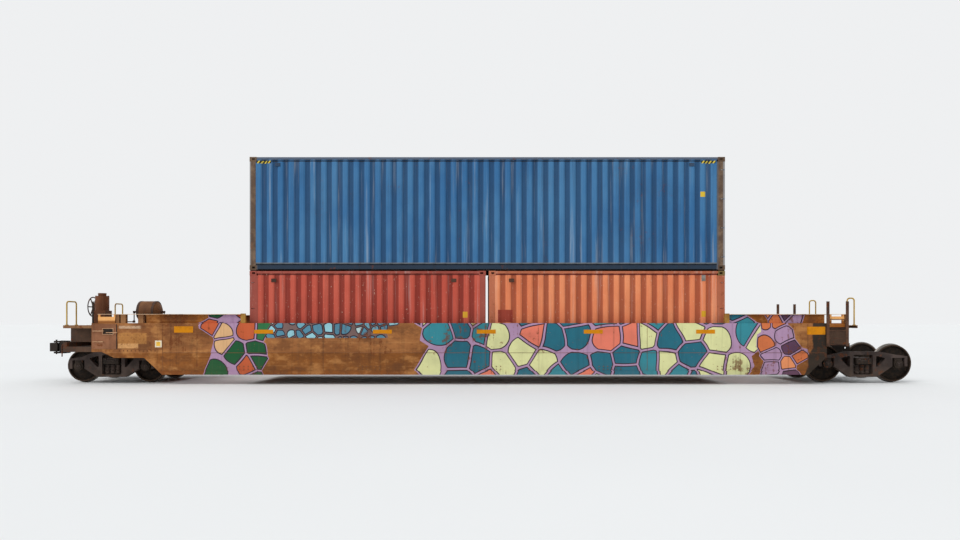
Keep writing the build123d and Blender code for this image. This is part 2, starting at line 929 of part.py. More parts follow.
def make_truck(name, truck_x, wheelbase, tread_radius):
    """Make the side frames, bolster, springs, bearings and brake beams of a truck."""
    centre_x = well_x + truck_x
    axle_z = rail_level + tread_radius
    adapter_top = axle_z + cup_radius + adapter_thickness
    frame_top = rail_level + frame_top_level
    frame_foot = rail_level + frame_foot_level
    half = wheelbase / 2
    frame_inner = journal_half_gauge - frame_thickness / 2
    jaw = cup_radius + frame_jaw_gap
    jaw_foot = axle_z - frame_jaw_drop
    frame_end = half + jaw + frame_end_wall
    bolster_top = rail_level + bowl_level - bowl_depth
    bolster_foot = bolster_top - bolster_depth
    outline = [
        (0, frame_top),
        (frame_top_half, frame_top),
        (half - jaw / 2, adapter_top + frame_end_crown),
        (frame_end, adapter_top + frame_end_crown / 2),
        (frame_end, jaw_foot),
        (half + jaw, jaw_foot),
        (half + jaw, adapter_top),
        (half - jaw, adapter_top),
        (half - jaw, jaw_foot),
        (frame_foot_half, frame_foot),
        (0, frame_foot),
    ]
    side_window = [
        (side_window_inner, rail_level + side_window_top),
        (side_window_outer, rail_level + side_window_top - side_window_slope),
        (side_window_inner, rail_level + side_window_low),
    ]

    with BuildPart() as sideframes:
        with BuildSketch(upright_plane(centre_x, -frame_inner)) as profile:
            for side in (-1, 1):
                with BuildLine():
                    Polyline(*[(side * x, z) for x, z in outline], close=True)
                make_face()
            with Locations((0, rail_level + (window_foot + window_top) / 2)):
                RectangleRounded(
                    2 * window_half, window_top - window_foot, window_corner, mode=Mode.SUBTRACT
                )
            for side in (-1, 1):
                with BuildSketch(mode=Mode.PRIVATE) as hole:
                    with BuildLine():
                        Polyline(*[(side * x, z) for x, z in side_window], close=True)
                    make_face()
                    fillet(hole.vertices(), radius=side_window_corner)
                add(hole.sketch, mode=Mode.SUBTRACT)
        extrude(profile.sketch, amount=frame_thickness)
        mirror(about=Plane.XZ)
    keep(sideframes, name + "_sideframes")

    with BuildPart() as bolster:
        reach = journal_half_gauge + frame_thickness / 2 + bolster_end_reach
        with BuildSketch(Plane.YZ.offset(centre_x - bolster_half_width)):
            with BuildLine():
                Polyline(
                    (-reach, bolster_foot),
                    (-reach, bolster_top),
                    (reach, bolster_top),
                    (reach, bolster_foot),
                    (frame_inner - bolster_end_reach, bolster_foot),
                    (frame_inner / 2, bolster_foot - bolster_belly),
                    (-frame_inner / 2, bolster_foot - bolster_belly),
                    (-frame_inner + bolster_end_reach, bolster_foot),
                    close=True,
                )
            make_face()
        extrude(amount=2 * bolster_half_width)
        with Locations((centre_x, 0, bolster_top)):
            Cylinder(bowl_radius + bowl_wall, bowl_depth, align=CENTRED_UP)
            Cylinder(bowl_radius, bowl_depth, align=CENTRED_UP, mode=Mode.SUBTRACT)
    keep(bolster, name + "_bolster")

    with BuildPart() as springs:
        with Locations((centre_x, -journal_half_gauge, rail_level + window_foot)):
            with GridLocations(spring_spacing, 0, 3, 1):
                Cylinder(spring_radius, bolster_foot - rail_level - window_foot, align=CENTRED_UP)
        mirror(about=Plane.XZ)
    keep(springs, name + "_springs")

    with BuildPart() as bearings:
        for axle_x in (centre_x - half, centre_x + half):
            bearing_place = (axle_x, -journal_half_gauge, axle_z)
            rod(bearing_place, cup_length, cup_radius, ALONG_Y)
            block(
                (axle_x - adapter_half_length, axle_x + adapter_half_length),
                (-journal_half_gauge - adapter_half_width, -journal_half_gauge + adapter_half_width),
                (axle_z, adapter_top),
            )
            rod(bearing_place, cup_length, journal_radius + running_gap, ALONG_Y, Mode.SUBTRACT)
        mirror(about=Plane.XZ)
    keep(bearings, name + "_bearings")

    shoe_inner = tread_radius + shoe_gap
    beam_face = half - shoe_inner - shoe_thickness
    beam_z = rail_level + beam_level
    with BuildPart() as brake_beams:
        for side in (-1, 1):
            block(
                (centre_x + side * beam_face, centre_x + side * (beam_face - beam_width)),
                (-frame_inner, frame_inner),
                (beam_z, beam_z + beam_depth),
            )
            for y in (-shoe_offset, shoe_offset):
                with BuildSketch(upright_plane(centre_x + side * half, y + shoe_width / 2)) as shoe:
                    with Locations((0, axle_z)):
                        Circle(shoe_inner + shoe_thickness + brake_head_depth)
                        Circle(shoe_inner, mode=Mode.SUBTRACT)
                    with BuildLine():
                        far = 2 * tread_radius
                        lean = far * shoe_slope
                        Polyline(
                            (0, axle_z),
                            (-side * far, axle_z + lean),
                            (-side * far, axle_z - lean),
                            close=True,
                        )
                    make_face(mode=Mode.INTERSECT)
                extrude(shoe.sketch, amount=shoe_width)
    keep(brake_beams, name + "_brake_beams")


def wheel_section(tread_radius):
    """Give half of a wheel's section as (radius, distance inboard of the rim's outer face)."""
    rim_inner = tread_radius - rim_thickness
    plate_root = hub_radius + plate_thickness
    dish = plate_dish
    return [
        (axle_seat_radius, -hub_proud),
        (hub_radius, -hub_proud),
        (plate_root, dish - plate_thickness),
        (rim_inner - plate_thickness, dish),
        (rim_inner, 0),
        (tread_radius - rim_taper, 0),
        (tread_radius, rim_width - flange_depth * 1.4),
        (tread_radius + flange_depth, rim_width - flange_depth * 0.7),
        (tread_radius + flange_depth * 0.4, rim_width),
        (rim_inner, rim_width),
        (rim_inner - plate_thickness, dish + plate_thickness),
        (plate_root, dish),
        (hub_radius, hub_length - hub_proud),
        (axle_seat_radius, hub_length - hub_proud),
    ]


def turned(centre_x, axle_z, points):
    """Turn a section of (radius, distance from the middle) about an axle's line."""
    with BuildSketch(Plane(origin=(centre_x, 0, axle_z), x_dir=(0, 0, 1), z_dir=(1, 0, 0))) as half:
        with BuildLine():
            Polyline(*points, close=True)
        make_face()
    revolve(half.sketch, axis=Axis((centre_x, 0, axle_z), (0, 1, 0)))


def make_wheelset(name, axle_x, tread_radius):
    """Make a pair of wheels and their axle."""
    centre_x = well_x + axle_x
    axle_z = rail_level + tread_radius
    rim_outer = wheel_back_to_back / 2 + rim_width
    seat_end = rim_outer + hub_proud
    with BuildPart() as wheels:
        turned(centre_x, axle_z, [(r, rim_outer - x) for r, x in wheel_section(tread_radius)])
        mirror(about=Plane.XZ)
    keep(wheels, name + "_wheels")
    with BuildPart() as axle:
        turned(
            centre_x,
            axle_z,
            [
                (0, 0),
                (axle_body_radius, 0),
                (axle_seat_radius, seat_end - hub_length),
                (axle_seat_radius, seat_end),
                (axle_guard_radius, seat_end),
                (axle_guard_radius, shoulder - seat_gap),
                (journal_radius, shoulder - seat_gap),
                (journal_radius, axle_half_length - end_cap_thickness),
                (end_cap_radius, axle_half_length - end_cap_thickness),
                (end_cap_radius, axle_half_length),
                (0, axle_half_length),
            ],
        )
        mirror(about=Plane.XZ)
    keep(axle, name + "_axle")


truck_table = [
    # name, middle, wheelbase, tread radius
    ("left_truck", -left_truck_x, wheelbase_left, tread_radius_left),
    ("right_truck", right_truck_x, wheelbase_right, tread_radius_right),
]
for name, truck_x, wheelbase, tread_radius in truck_table:
    make_truck(name, truck_x, wheelbase, tread_radius)
    make_wheelset(name + "_left", truck_x - wheelbase / 2, tread_radius)
    make_wheelset(name + "_right", truck_x + wheelbase / 2, tread_radius)


def box_layout(centre_x, foot, length, height, door_side):
    """Name the ends, posts and levels of one box."""
    door_end = centre_x + door_side * length / 2
    blind_end = centre_x - door_side * length / 2
    return {
        "centre": centre_x,
        "foot": foot,
        "top": foot + height,
        "length": length,
        "door_side": door_side,
        "door_end": door_end,
        "blind_end": blind_end,
        "door_post_back": door_end - door_side * door_post,
        "blind_post_back": blind_end + door_side * front_post,
    }


def add_castings(box):
    """Add the eight corner castings with their slots on top, at the side and at the end."""
    for end in (-1, 1):
        outer_x = box["centre"] + end * box["length"] / 2
        middle_x = outer_x - end * casting_hole_inset
        middle_y = -box_width / 2 + casting_hole_side
        for foot in (box["foot"], box["top"] - casting_height):
            middle_z = foot + casting_height / 2
            block(
                (outer_x, outer_x - end * casting_length),
                (-box_width / 2, -box_width / 2 + casting_width),
                (foot, foot + casting_height),
            )
            with BuildSketch(Plane.XY.offset(foot)) as slot:
                with Locations((middle_x, middle_y)):
                    SlotOverall(casting_hole_length, casting_hole_width)
            extrude(slot.sketch, amount=casting_height, mode=Mode.SUBTRACT)
            block(
                (middle_x - side_hole_half_length, middle_x + side_hole_half_length),
                (-box_width / 2, middle_y),
                (middle_z - side_hole_half_height, middle_z + side_hole_half_height),
                Mode.SUBTRACT,
            )
            block(
                (outer_x, middle_x),
                (middle_y - side_hole_half_height, middle_y + side_hole_half_height),
                (middle_z - side_hole_half_length, middle_z + side_hole_half_length),
                Mode.SUBTRACT,
            )


def hinge_heights(box):
    """Give the levels of the door hinges of one box."""
    post_foot = box["foot"] + casting_height
    post_length = box["top"] - casting_height - post_foot
    return [post_foot + share * post_length for share in hinge_levels]


def add_posts(box):
    """Add the four corner posts' near pair, with the hinge lugs and pins on the door post."""
    y_outer = -box_width / 2 + casting_proud
    door_side = box["door_side"]
    post_run = (box["foot"] + casting_height, box["top"] - casting_height)
    flange_end = box["door_end"] - door_side * post_flange_length
    for end_x, back_x, depth in (
        (flange_end, box["door_post_back"], post_depth),
        (box["door_end"] - door_side * casting_proud, box["door_post_back"], post_flange_thickness),
        (box["blind_end"] + door_side * casting_proud, box["blind_post_back"], post_depth),
    ):
        block((end_x, back_x), (y_outer, y_outer + depth), post_run)
    hinge_x = box["door_end"] - door_side * hinge_end_inset
    hinge_y = -box_width / 2 + hinge_side_inset
    lug_end = hinge_x + door_side * hinge_knuckle_radius
    lug_reach = hinge_leaf_height / 2 + seat_gap + hinge_lug_height
    blade_half = hinge_leaf_height / 2 + seat_gap
    notch = blade_half + hinge_notch_clearance
    for level in hinge_heights(box):
        block(
            (flange_end, lug_end + door_side * casting_proud),
            (y_outer - casting_proud, y_outer + post_flange_thickness + seat_gap),
            (level - notch, level + notch),
            Mode.SUBTRACT,
        )
        block(
            (flange_end, lug_end),
            (hinge_y - hinge_knuckle_radius, hinge_y + hinge_knuckle_radius),
            (level - lug_reach, level + lug_reach),
        )
        block(
            (flange_end + door_side * hinge_blade_gap, lug_end + door_side * hinge_knuckle_radius),
            (hinge_y - 2 * hinge_knuckle_radius, hinge_y + 2 * hinge_knuckle_radius),
            (level - blade_half, level + blade_half),
            Mode.SUBTRACT,
        )
        with Locations((hinge_x, hinge_y, level)):
            Cylinder(hinge_pin_radius, 2 * lug_reach)


def add_rails(box):
    """Add the near top and bottom side rails between the castings."""
    y_outer = -box_width / 2 + casting_proud
    foot = box["foot"] + low_rail_lift
    top = box["top"] - rail_drop
    run = (
        box["centre"] - box["length"] / 2 + casting_length,
        box["centre"] + box["length"] / 2 - casting_length,
    )
    block(run, (y_outer, y_outer + rail_size), (top - rail_size, top))
    block(run, (y_outer, y_outer + low_rail_width), (foot, foot + low_rail_height))


def add_end_members(box):
    """Add the headers and sills across both ends."""
    inner_y = box_width / 2 - casting_width
    for end_x, inward in ((box["door_end"], -box["door_side"]), (box["blind_end"], box["door_side"])):
        run = (end_x + inward * casting_proud, end_x + inward * (casting_proud + header_depth))
        block(run, (-inner_y, inner_y), (box["top"] - casting_height, box["top"] - rail_drop))
        block(run, (-inner_y, inner_y), (box["foot"] + low_rail_lift, box["foot"] + casting_height))


def corrugated_points(run_low, run_high, wave, thickness):
    """Give a corrugated section as (place along the run, depth behind the outer face)."""
    pitch, depth, flat, slope = wave
    count = int((run_high - run_low) // pitch)
    margin = ((run_high - run_low) - count * pitch) / 2
    points = [(run_low, thickness), (run_low, 0)]
    for index in range(count):
        start = run_low + margin + index * pitch
        points.append((start + flat / 2, 0))
        points.append((start + flat / 2 + slope, depth))
        points.append((start + pitch - flat / 2 - slope, depth))
        points.append((start + pitch - flat / 2, 0))
    return points + [(run_high, 0), (run_high, thickness)]


def add_walls(box):
    """Add the near corrugated side wall, cut away for the corner castings."""
    run = span(box["door_post_back"], box["blind_post_back"])
    face = -box_width / 2 + casting_proud + panel_inset
    wall_foot = box["foot"] + low_rail_lift + low_rail_height
    wall_top = box["top"] - rail_drop - rail_size
    with BuildSketch(Plane.XY.offset(wall_foot)) as section:
        with BuildLine():
            Polyline(
                *[(x, face + depth) for x, depth in corrugated_points(*run, side_wave, panel_thickness)],
                close=True,
            )
        make_face()
    extrude(section.sketch, amount=wall_top - wall_foot)
    block(
        (box["blind_end"], box["blind_end"] + box["door_side"] * casting_length),
        (-box_width / 2, -box_width / 2 + casting_width),
        (box["top"] - casting_height, box["top"]),
        Mode.SUBTRACT,
    )


def add_front(box):
    """Add the blind end's corrugated wall between its posts."""
    outer_x = box["blind_end"] + box["door_side"] * front_inset
    inner_y = box_width / 2 - casting_proud - post_depth
    foot = box["foot"] + casting_height
    with BuildSketch(Plane.XY.offset(foot)) as section:
        with BuildLine():
            Polyline(
                *[
                    (outer_x + box["door_side"] * depth, y)
                    for y, depth in corrugated_points(-inner_y, inner_y, side_wave, panel_thickness)
                ],
                close=True,
            )
        make_face()
    extrude(section.sketch, amount=box["top"] - casting_height - foot)


def add_roof(box):
    """Add the ribbed roof sheet between the top rails and the headers."""
    inner_y = box_width / 2 - casting_width
    reach = box["length"] / 2 - casting_length
    top = box["top"] - rail_drop
    with BuildSketch(Plane.XZ.offset(-inner_y)) as section:
        with BuildLine():
            Polyline(
                *[
                    (x, top - depth)
                    for x, depth in corrugated_points(
                        box["centre"] - reach, box["centre"] + reach, roof_wave, roof_thickness
                    )
                ],
                close=True,
            )
        make_face()
    extrude(section.sketch, amount=2 * inner_y)


def add_floor(box):
    """Add the floor and the cross members that carry it between the bottom rails."""
    inner_y = box_width / 2 - casting_proud - low_rail_width
    reach = box["length"] / 2 - door_post
    deck_level = box["foot"] + floor_top - floor_thickness
    block(
        (box["centre"] - reach, box["centre"] + reach),
        (-inner_y + panel_thickness, inner_y - panel_thickness),
        (deck_level, deck_level + floor_thickness),
    )
    count = int(2 * reach // member_pitch) + 1
    step = (2 * reach - member_width) / (count - 1)
    for index in range(count):
        member_x = box["centre"] - reach + index * step
        block(
            (member_x, member_x + member_width),
            (-inner_y, inner_y),
            (box["foot"] + low_rail_lift, deck_level),
        )


def make_door(name, box, side):
    """Make one door leaf with its pressed fields, lock rods, handles and hinge blades."""
    door_side = box["door_side"]
    outer_x = box["door_end"] - door_side * door_recess
    inner_edge = side * door_meeting_gap / 2
    edge_y = side * (box_width / 2 - door_edge_inset)
    foot = box["foot"] + casting_height + door_sill_gap
    top = box["top"] - casting_height - door_sill_gap
    height = top - foot
    rod_x = outer_x + door_side * (lock_rod_gap + lock_rod_radius)
    with BuildPart() as leaf:
        block((outer_x, outer_x - door_side * door_thickness), (inner_edge, edge_y), (foot, top))
        field_height = (height - 2 * door_field_margin + door_field_gap) / door_fields - door_field_gap
        for index in range(door_fields):
            field_foot = foot + door_field_margin + index * (field_height + door_field_gap)
            block(
                (outer_x, outer_x - door_side * door_field_depth),
                (inner_edge + side * door_field_margin, edge_y - side * door_field_margin),
                (field_foot, field_foot + field_height),
                Mode.SUBTRACT,
            )
        for place, reach in lock_rod_places:
            rod_y = side * place
            with Locations((rod_x, rod_y, foot)):
                Cylinder(lock_rod_radius, height, align=CENTRED_UP)
            for share in rod_bracket_levels:
                level = foot + height * share
                block(
                    (outer_x - door_side * door_field_depth, rod_x),
                    (rod_y - rod_bracket_half, rod_y + rod_bracket_half),
                    (level - rod_bracket_half, level + rod_bracket_half),
                )
            handle_z = foot + handle_level - reach * handle_step
            block(
                (rod_x - handle_thickness / 2, rod_x + handle_thickness / 2),
                (rod_y, rod_y + side * reach),
                (handle_z - handle_thickness, handle_z + handle_thickness),
            )
            block(
                (outer_x - door_side * door_field_depth, rod_x),
                (rod_y + side * reach * handle_catch, rod_y + side * (reach * handle_catch + handle_thickness)),
                (handle_z - rod_bracket_half, handle_z + rod_bracket_half),
            )
        hinge_x = box["door_end"] - door_side * hinge_end_inset
        hinge_y = side * (box_width / 2 - hinge_side_inset)
        for level in hinge_heights(box):
            with BuildSketch(Plane.XY.offset(level - hinge_leaf_height / 2)) as blade:
                with BuildLine():
                    Polyline(
                        (hinge_x - door_side * hinge_knuckle_radius, hinge_y),
                        (hinge_x + door_side * hinge_knuckle_radius, hinge_y),
                        (outer_x, edge_y - side * seat_gap),
                        (outer_x - door_side * hinge_leaf_width, edge_y - side * seat_gap),
                        close=True,
                    )
                make_face()
                with Locations((hinge_x, hinge_y)):
                    Circle(hinge_knuckle_radius)
                    Circle(hinge_pin_radius + running_gap, mode=Mode.SUBTRACT)
            extrude(blade.sketch, amount=hinge_leaf_height)
    keep(leaf, name)


side_wave = (corrugation_pitch, corrugation_depth, corrugation_flat, corrugation_slope)
roof_wave = (roof_pitch, roof_depth, roof_flat, roof_slope)
short_offset = (short_box_length + short_box_gap) / 2
long_box = box_layout(load_x, long_box_foot, long_box_length, long_box_height, 1)
left_box = box_layout(load_x - short_offset, box_foot, short_box_length, short_box_height, -1)
right_box = box_layout(load_x + short_offset, box_foot, short_box_length, short_box_height, 1)
box_table = [("upper", [long_box]), ("lower", [left_box, right_box])]
for name, boxes in box_table:
    with BuildPart() as castings:
        for box in boxes:
            add_castings(box)
        mirror(about=Plane.XZ)
    keep(castings, name + "_castings")
    with BuildPart() as frame:
        for box in boxes:
            add_posts(box)
            add_rails(box)
        mirror(about=Plane.XZ)
        for box in boxes:
            add_end_members(box)
    keep(frame, name + "_frame")
    with BuildPart() as walls:
        for box in boxes:
            add_walls(box)
        mirror(about=Plane.XZ)
        for box in boxes:
            add_front(box)
    keep(walls, name + "_walls")
    with BuildPart() as roof:
        for box in boxes:
            add_roof(box)
    keep(roof, name + "_roof")
    with BuildPart() as floor:
        for box in boxes:
            add_floor(box)
    keep(floor, name + "_floor")

make_door("upper_door_near", long_box, -1)
make_door("upper_door_far", long_box, 1)
make_door("left_door_near", left_box, -1)
make_door("left_door_far", left_box, 1)
make_door("right_door_near", right_box, -1)
make_door("right_door_far", right_box, 1)

# Box locks: the connector plates between the two layers of boxes
with BuildPart() as box_locks:
    for end in (-1, 1):
        middle_x = load_x + end * (long_box_length - casting_length) / 2
        middle_y = (casting_width - box_width) / 2
        block(
            (middle_x - lock_half_length, middle_x + lock_half_length),
            (middle_y - lock_half_width, middle_y + lock_half_width),
            (long_box_foot - stack_gap, long_box_foot),
        )
    mirror(about=Plane.XZ)
keep(box_locks, "box_locks")

os.makedirs("parts", exist_ok=True)
for name, builder in parts_made:
    export_step(builder.part, f"parts/{name}.step")
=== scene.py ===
# %% [markdown]
# # One unit of a stacked well wagon
# The real object is a long steel freight wagon with a deep well between two trucks.
# Two short freight boxes stand in the well and a long one is stacked on them.
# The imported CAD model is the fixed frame: its solids stay where they are, and this script
# gives them their finishes and adds the small pieces that a CAD model leaves out.

# %% Load the frame
import math

import bmesh
import bpy
from mathutils import Matrix, Vector


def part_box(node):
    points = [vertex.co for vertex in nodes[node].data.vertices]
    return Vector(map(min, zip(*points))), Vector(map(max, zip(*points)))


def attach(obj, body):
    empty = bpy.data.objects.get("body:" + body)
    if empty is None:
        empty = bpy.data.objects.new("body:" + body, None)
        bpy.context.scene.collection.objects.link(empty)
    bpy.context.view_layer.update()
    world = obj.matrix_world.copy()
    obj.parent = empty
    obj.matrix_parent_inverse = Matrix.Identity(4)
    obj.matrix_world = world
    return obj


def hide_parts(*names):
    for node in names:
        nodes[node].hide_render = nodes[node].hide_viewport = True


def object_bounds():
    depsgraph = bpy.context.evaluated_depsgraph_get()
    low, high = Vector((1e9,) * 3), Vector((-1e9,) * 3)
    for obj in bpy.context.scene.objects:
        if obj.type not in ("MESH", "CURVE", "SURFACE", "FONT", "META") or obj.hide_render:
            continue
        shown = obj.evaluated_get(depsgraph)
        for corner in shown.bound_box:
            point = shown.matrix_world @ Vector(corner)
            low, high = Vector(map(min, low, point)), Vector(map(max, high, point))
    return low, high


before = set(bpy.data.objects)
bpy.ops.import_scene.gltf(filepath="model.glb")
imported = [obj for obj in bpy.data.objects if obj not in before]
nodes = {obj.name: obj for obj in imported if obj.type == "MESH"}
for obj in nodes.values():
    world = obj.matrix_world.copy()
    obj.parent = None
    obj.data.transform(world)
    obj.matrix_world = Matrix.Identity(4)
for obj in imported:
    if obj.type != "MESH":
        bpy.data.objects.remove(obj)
cad_low, cad_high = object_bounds()
print("CAD box", [round(v, 3) for v in (*cad_low, *cad_high)])

# %% [markdown]
# ## Places on the wagon
# The main places below come from the loaded solids, so the added pieces stay seated on them.
# The wagon is the same on both long sides, which is why most pieces are made at a near
# and a far place, on the negative and the positive side of Y.

# %% Read the main places
SIDES = (-1, 1)
TRUCKS = ("left_truck", "right_truck")
ENDS = ("left", "right")
UP = (0, 0, 1)
SIDE_TOP = 1.53  # the side sheets' top above the rail
sheet_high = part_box("side_sheets")[1]
raised_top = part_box("raised_chords")[1].z
deck_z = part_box("end_decks")[1].z
well_low, well_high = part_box("bulkheads")
upper_low, upper_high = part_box("upper_castings")
lower_low, lower_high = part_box("lower_castings")
tank_low, tank_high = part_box("air_reservoir")
valve_low, valve_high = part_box("brake_valve")
well_x = (well_low.x + well_high.x) / 2
load_x = (upper_low.x + upper_high.x) / 2
sheet_face = sheet_high.y
box_face = upper_high.y
rail_z = sheet_high.z - SIDE_TOP
print("well middle", round(well_x, 3), "load middle", round(load_x, 3))

# %% [markdown]
# ## Shader sums as plain expressions
# A finish is a tree of nodes. Written node by node it is hard to read, so one small class
# wraps a socket and lets the usual signs add Math nodes.


# %% A socket that takes part in sums
class Wire:
    """One output socket of a finish, which can be added, scaled and compared."""

    def __init__(self, finish, socket):
        self.finish = finish
        self.socket = socket

    def math(self, operation, first, second=0.0):
        return self.finish.node("ShaderNodeMath", {"operation": operation}, {0: first, 1: second})

    def __add__(self, other):
        return self.math("ADD", self, other)

    def __mul__(self, other):
        return self.math("MULTIPLY", self, other)

    def __sub__(self, other):
        return self.math("SUBTRACT", self, other)

    def __rsub__(self, other):
        return self.math("SUBTRACT", other, self)

    __radd__ = __add__
    __rmul__ = __mul__

    def above(self, level):
        return self.math("GREATER_THAN", self, level)

    def below(self, level):
        return self.math("LESS_THAN", self, level)

    def larger(self, other):
        return self.math("MAXIMUM", self, other)

    def smaller(self, other):
        return self.math("MINIMUM", self, other)

    def wrap(self, length):
        return self.math("FLOORED_MODULO", self, length)

    def size(self):
        return self.math("ABSOLUTE", self)

    def between(self, low, high, soft):
        """Give 1 from low to high, with soft edges outside them."""
        return self.smooth(low - soft, low) * (1 - self.smooth(high, high + soft))

    def smooth(self, low, high):
        """Rise gently from 0 at low to 1 at high."""
        return self.finish.node(
            "ShaderNodeMapRange",
            {"interpolation_type": "SMOOTHSTEP"},
            {"Value": self, "From Min": low, "From Max": high},
        )


# %% A finish in the making
class Finish:
    """A material, with one way to add any node and a few that are used often."""

    def __init__(self, name, specular=0.5):
        self.material = bpy.data.materials.new(name)
        self.material.use_nodes = True
        self.tree = self.material.node_tree
        self.shader = self.tree.nodes["Principled BSDF"]
        self.shader.inputs["Specular IOR Level"].default_value = specular
        self.place = self.node("ShaderNodeTexCoord", output="Object")
        self.x, self.y, self.z = self.parts(self.place)

    def node(self, kind, settings=None, inputs=None, output=0):
        made = self.tree.nodes.new(kind)
        for key, value in (settings or {}).items():
            setattr(made, key, value)
        for key, value in (inputs or {}).items():
            if isinstance(value, Wire):
                self.tree.links.new(value.socket, made.inputs[key])
            else:
                made.inputs[key].default_value = value
        return Wire(self, made.outputs[output])

    def parts(self, vector):
        """Split a vector or a colour's place into its three numbers."""
        split = self.node("ShaderNodeSeparateXYZ", inputs={0: vector}).socket.node
        return [Wire(self, split.outputs[i]) for i in range(3)]

    def stretched(self, stretch, shift=0.0):
        scaled = self.node(
            "ShaderNodeVectorMath", {"operation": "MULTIPLY"}, {0: self.place, 1: stretch}
        )
        return self.node("ShaderNodeVectorMath", {"operation": "ADD"}, {0: scaled, 1: (shift,) * 3})

    def noise(self, scale, detail=4.0, stretch=(1, 1, 1), shift=0.0):
        return self.node(
            "ShaderNodeTexNoise",
            inputs={
                "Vector": self.stretched(stretch, shift),
                "Scale": scale,
                "Detail": detail,
                "Roughness": 0.6,
            },
        )

    def over(self, mask, under, top):
        """Lay a colour over another one where the mask is 1. A tuple is a screen colour."""
        inputs = {0: mask, 6: under, 7: top}
        for key in (6, 7):
            if isinstance(inputs[key], tuple):
                inputs[key] = shade(*inputs[key])
        return self.node("ShaderNodeMix", {"data_type": "RGBA"}, inputs, output=2)

    def patch(self, x_low, x_high, z_low, z_high, soft=0.006):
        """Give a mask that is 1 inside an upright rectangle."""
        return self.x.between(x_low, x_high, soft) * self.z.between(z_low, z_high, soft)

    def done(self, colour, roughness, height=None, distance=0.002, metallic=None):
        """Connect what varies over the surface to the shader."""
        links = self.tree.links
        links.new(colour.socket, self.shader.inputs["Base Color"])
        links.new(roughness.socket, self.shader.inputs["Roughness"])
        if metallic is not None:
            links.new(metallic.socket, self.shader.inputs["Metallic"])
        if height is not None:
            bump = self.node("ShaderNodeBump", inputs={"Height": height, "Distance": distance})
            links.new(bump.socket, self.shader.inputs["Normal"])
        return self.material


def shade(red, green, blue):
    """Turn a colour as it is read from a screen into the linear one that shaders use."""
    linear = []
    for value in (red / 255, green / 255, blue / 255):
        linear.append(value / 12.92 if value <= 0.04045 else ((value + 0.055) / 1.055) ** 2.4)
    return (*linear, 1.0)


# %% [markdown]
# ## Weather
# Years outdoors do the same things to every painted piece: rain draws streaks down it, chips
# rust, and dust settles low down. One function lays these over any colour. It is given to
# every finish in different amounts, so the pieces look as if they aged together.

# %% Streaks, rust and dust
RUST = (84, 40, 20)
RUST_PALE = (142, 78, 38)
GRIME = (30, 24, 20)
DUST = (142, 114, 86)


def weather(finish, colour, streaks=0.4, rust=0.4, dust=0.2, dust_top=0.8, grime=0.3):
    """Age a colour, and give it back with its roughness and its height."""
    runs = finish.noise(1.0, 5, stretch=(11, 11, 0.45), shift=3.1)
    wide = finish.noise(0.9, 3, shift=7.7)
    spots = finish.noise(9.0, 8, shift=1.3)
    fine = finish.noise(60.0, 3)
    aged = finish.over(runs.smooth(0.52, 0.78) * streaks, colour, GRIME)
    aged = finish.over((1 - runs.smooth(0.22, 0.42)) * (streaks * 0.3), aged, DUST)
    rusty = (spots + wide * 0.8 + runs * 0.5).smooth(1.38 - rust * 0.24, 1.46 - rust * 0.18)
    rust_tone = finish.over(fine.smooth(0.35, 0.65), RUST, RUST_PALE)
    aged = finish.over(rusty * min(1.0, rust * 1.6), aged, rust_tone)
    aged = finish.over(wide.smooth(0.45, 0.75) * grime, aged, GRIME)
    low = (1 - finish.z.smooth(dust_top * 0.2, dust_top)) * (0.3 + 0.7 * spots)
    aged = finish.over(low * dust, aged, DUST)
    roughness = 0.55 + 0.2 * wide + 0.2 * rusty
    height = fine * 0.2 + spots * 0.3 - rusty * 0.5
    return aged, roughness, height


print("weather ready")

# %% [markdown]
# ## The painted sides
# The long sides carry faded brown paint, an orange-brown band under the top edge and
# horizontal weld seams. Over it lies a generic painted design: rounded pebbles with dark
# rims, each in one flat colour. Cell noise does that well. Its distance to the edge
# gives the rims, its distance to the middle rounds the corners, and a cell's own random
# colour picks the pebble's paint. A cell's middle says whether the cell is painted, so each
# field ends along whole pebbles and not along a line.

# %% Fields of pebbles
PLUM = (46, 34, 46)
LILAC = (172, 138, 168)
TONE_SHARES = (0.40, 0.70, 0.90)
PEBBLE_GAP = 0.035  # from a pebble's rim to its cell's edge, as a share of the cell
PEBBLE_REACH = 0.66  # how far a pebble goes from its middle, as a share of the cell
RIM_WIDTH = 0.026
BEND = 0.3
FAR_SHIFT = 1.3
DESIGN_FIELDS = [
    # x from, x to, z from, z to, pebble size, ground, four paints
    (-1.55, 7.15, -9.0, 9.0, 0.60, LILAC)
    + ((218, 218, 158), (34, 104, 122), (52, 134, 146), (226, 122, 98)),
    (-6.75, -5.25, -9.0, 9.0, 0.46, LILAC)
    + ((26, 86, 48), (222, 176, 126), (44, 112, 66), (196, 92, 52)),
    (7.30, 8.30, -9.0, 9.0, 0.40, LILAC)
    + ((206, 112, 66), LILAC, (224, 140, 92), (92, 60, 84)),
    (-5.25, -2.00, 1.20, 1.60, 0.24, (120, 96, 92))
    + ((84, 138, 160), (150, 204, 214), (110, 166, 182), (196, 222, 220)),
]


def cell_field(finish, place, size):
    """Give a field of rounded cells: depth in from the rim, own tone and own middle."""
    inputs = {"Vector": place, "Scale": 1 / size, "Randomness": 0.8}
    flat = {"voronoi_dimensions": "2D"}
    edge = finish.node("ShaderNodeTexVoronoi", {**flat, "feature": "DISTANCE_TO_EDGE"}, inputs)
    cell = finish.node("ShaderNodeTexVoronoi", flat, inputs).socket.node
    distance, colour, middle = (Wire(finish, cell.outputs[i]) for i in range(3))
    depth = (edge - PEBBLE_GAP).smaller(PEBBLE_REACH - distance)
    return depth, finish.parts(colour)[0], finish.parts(middle)[0]


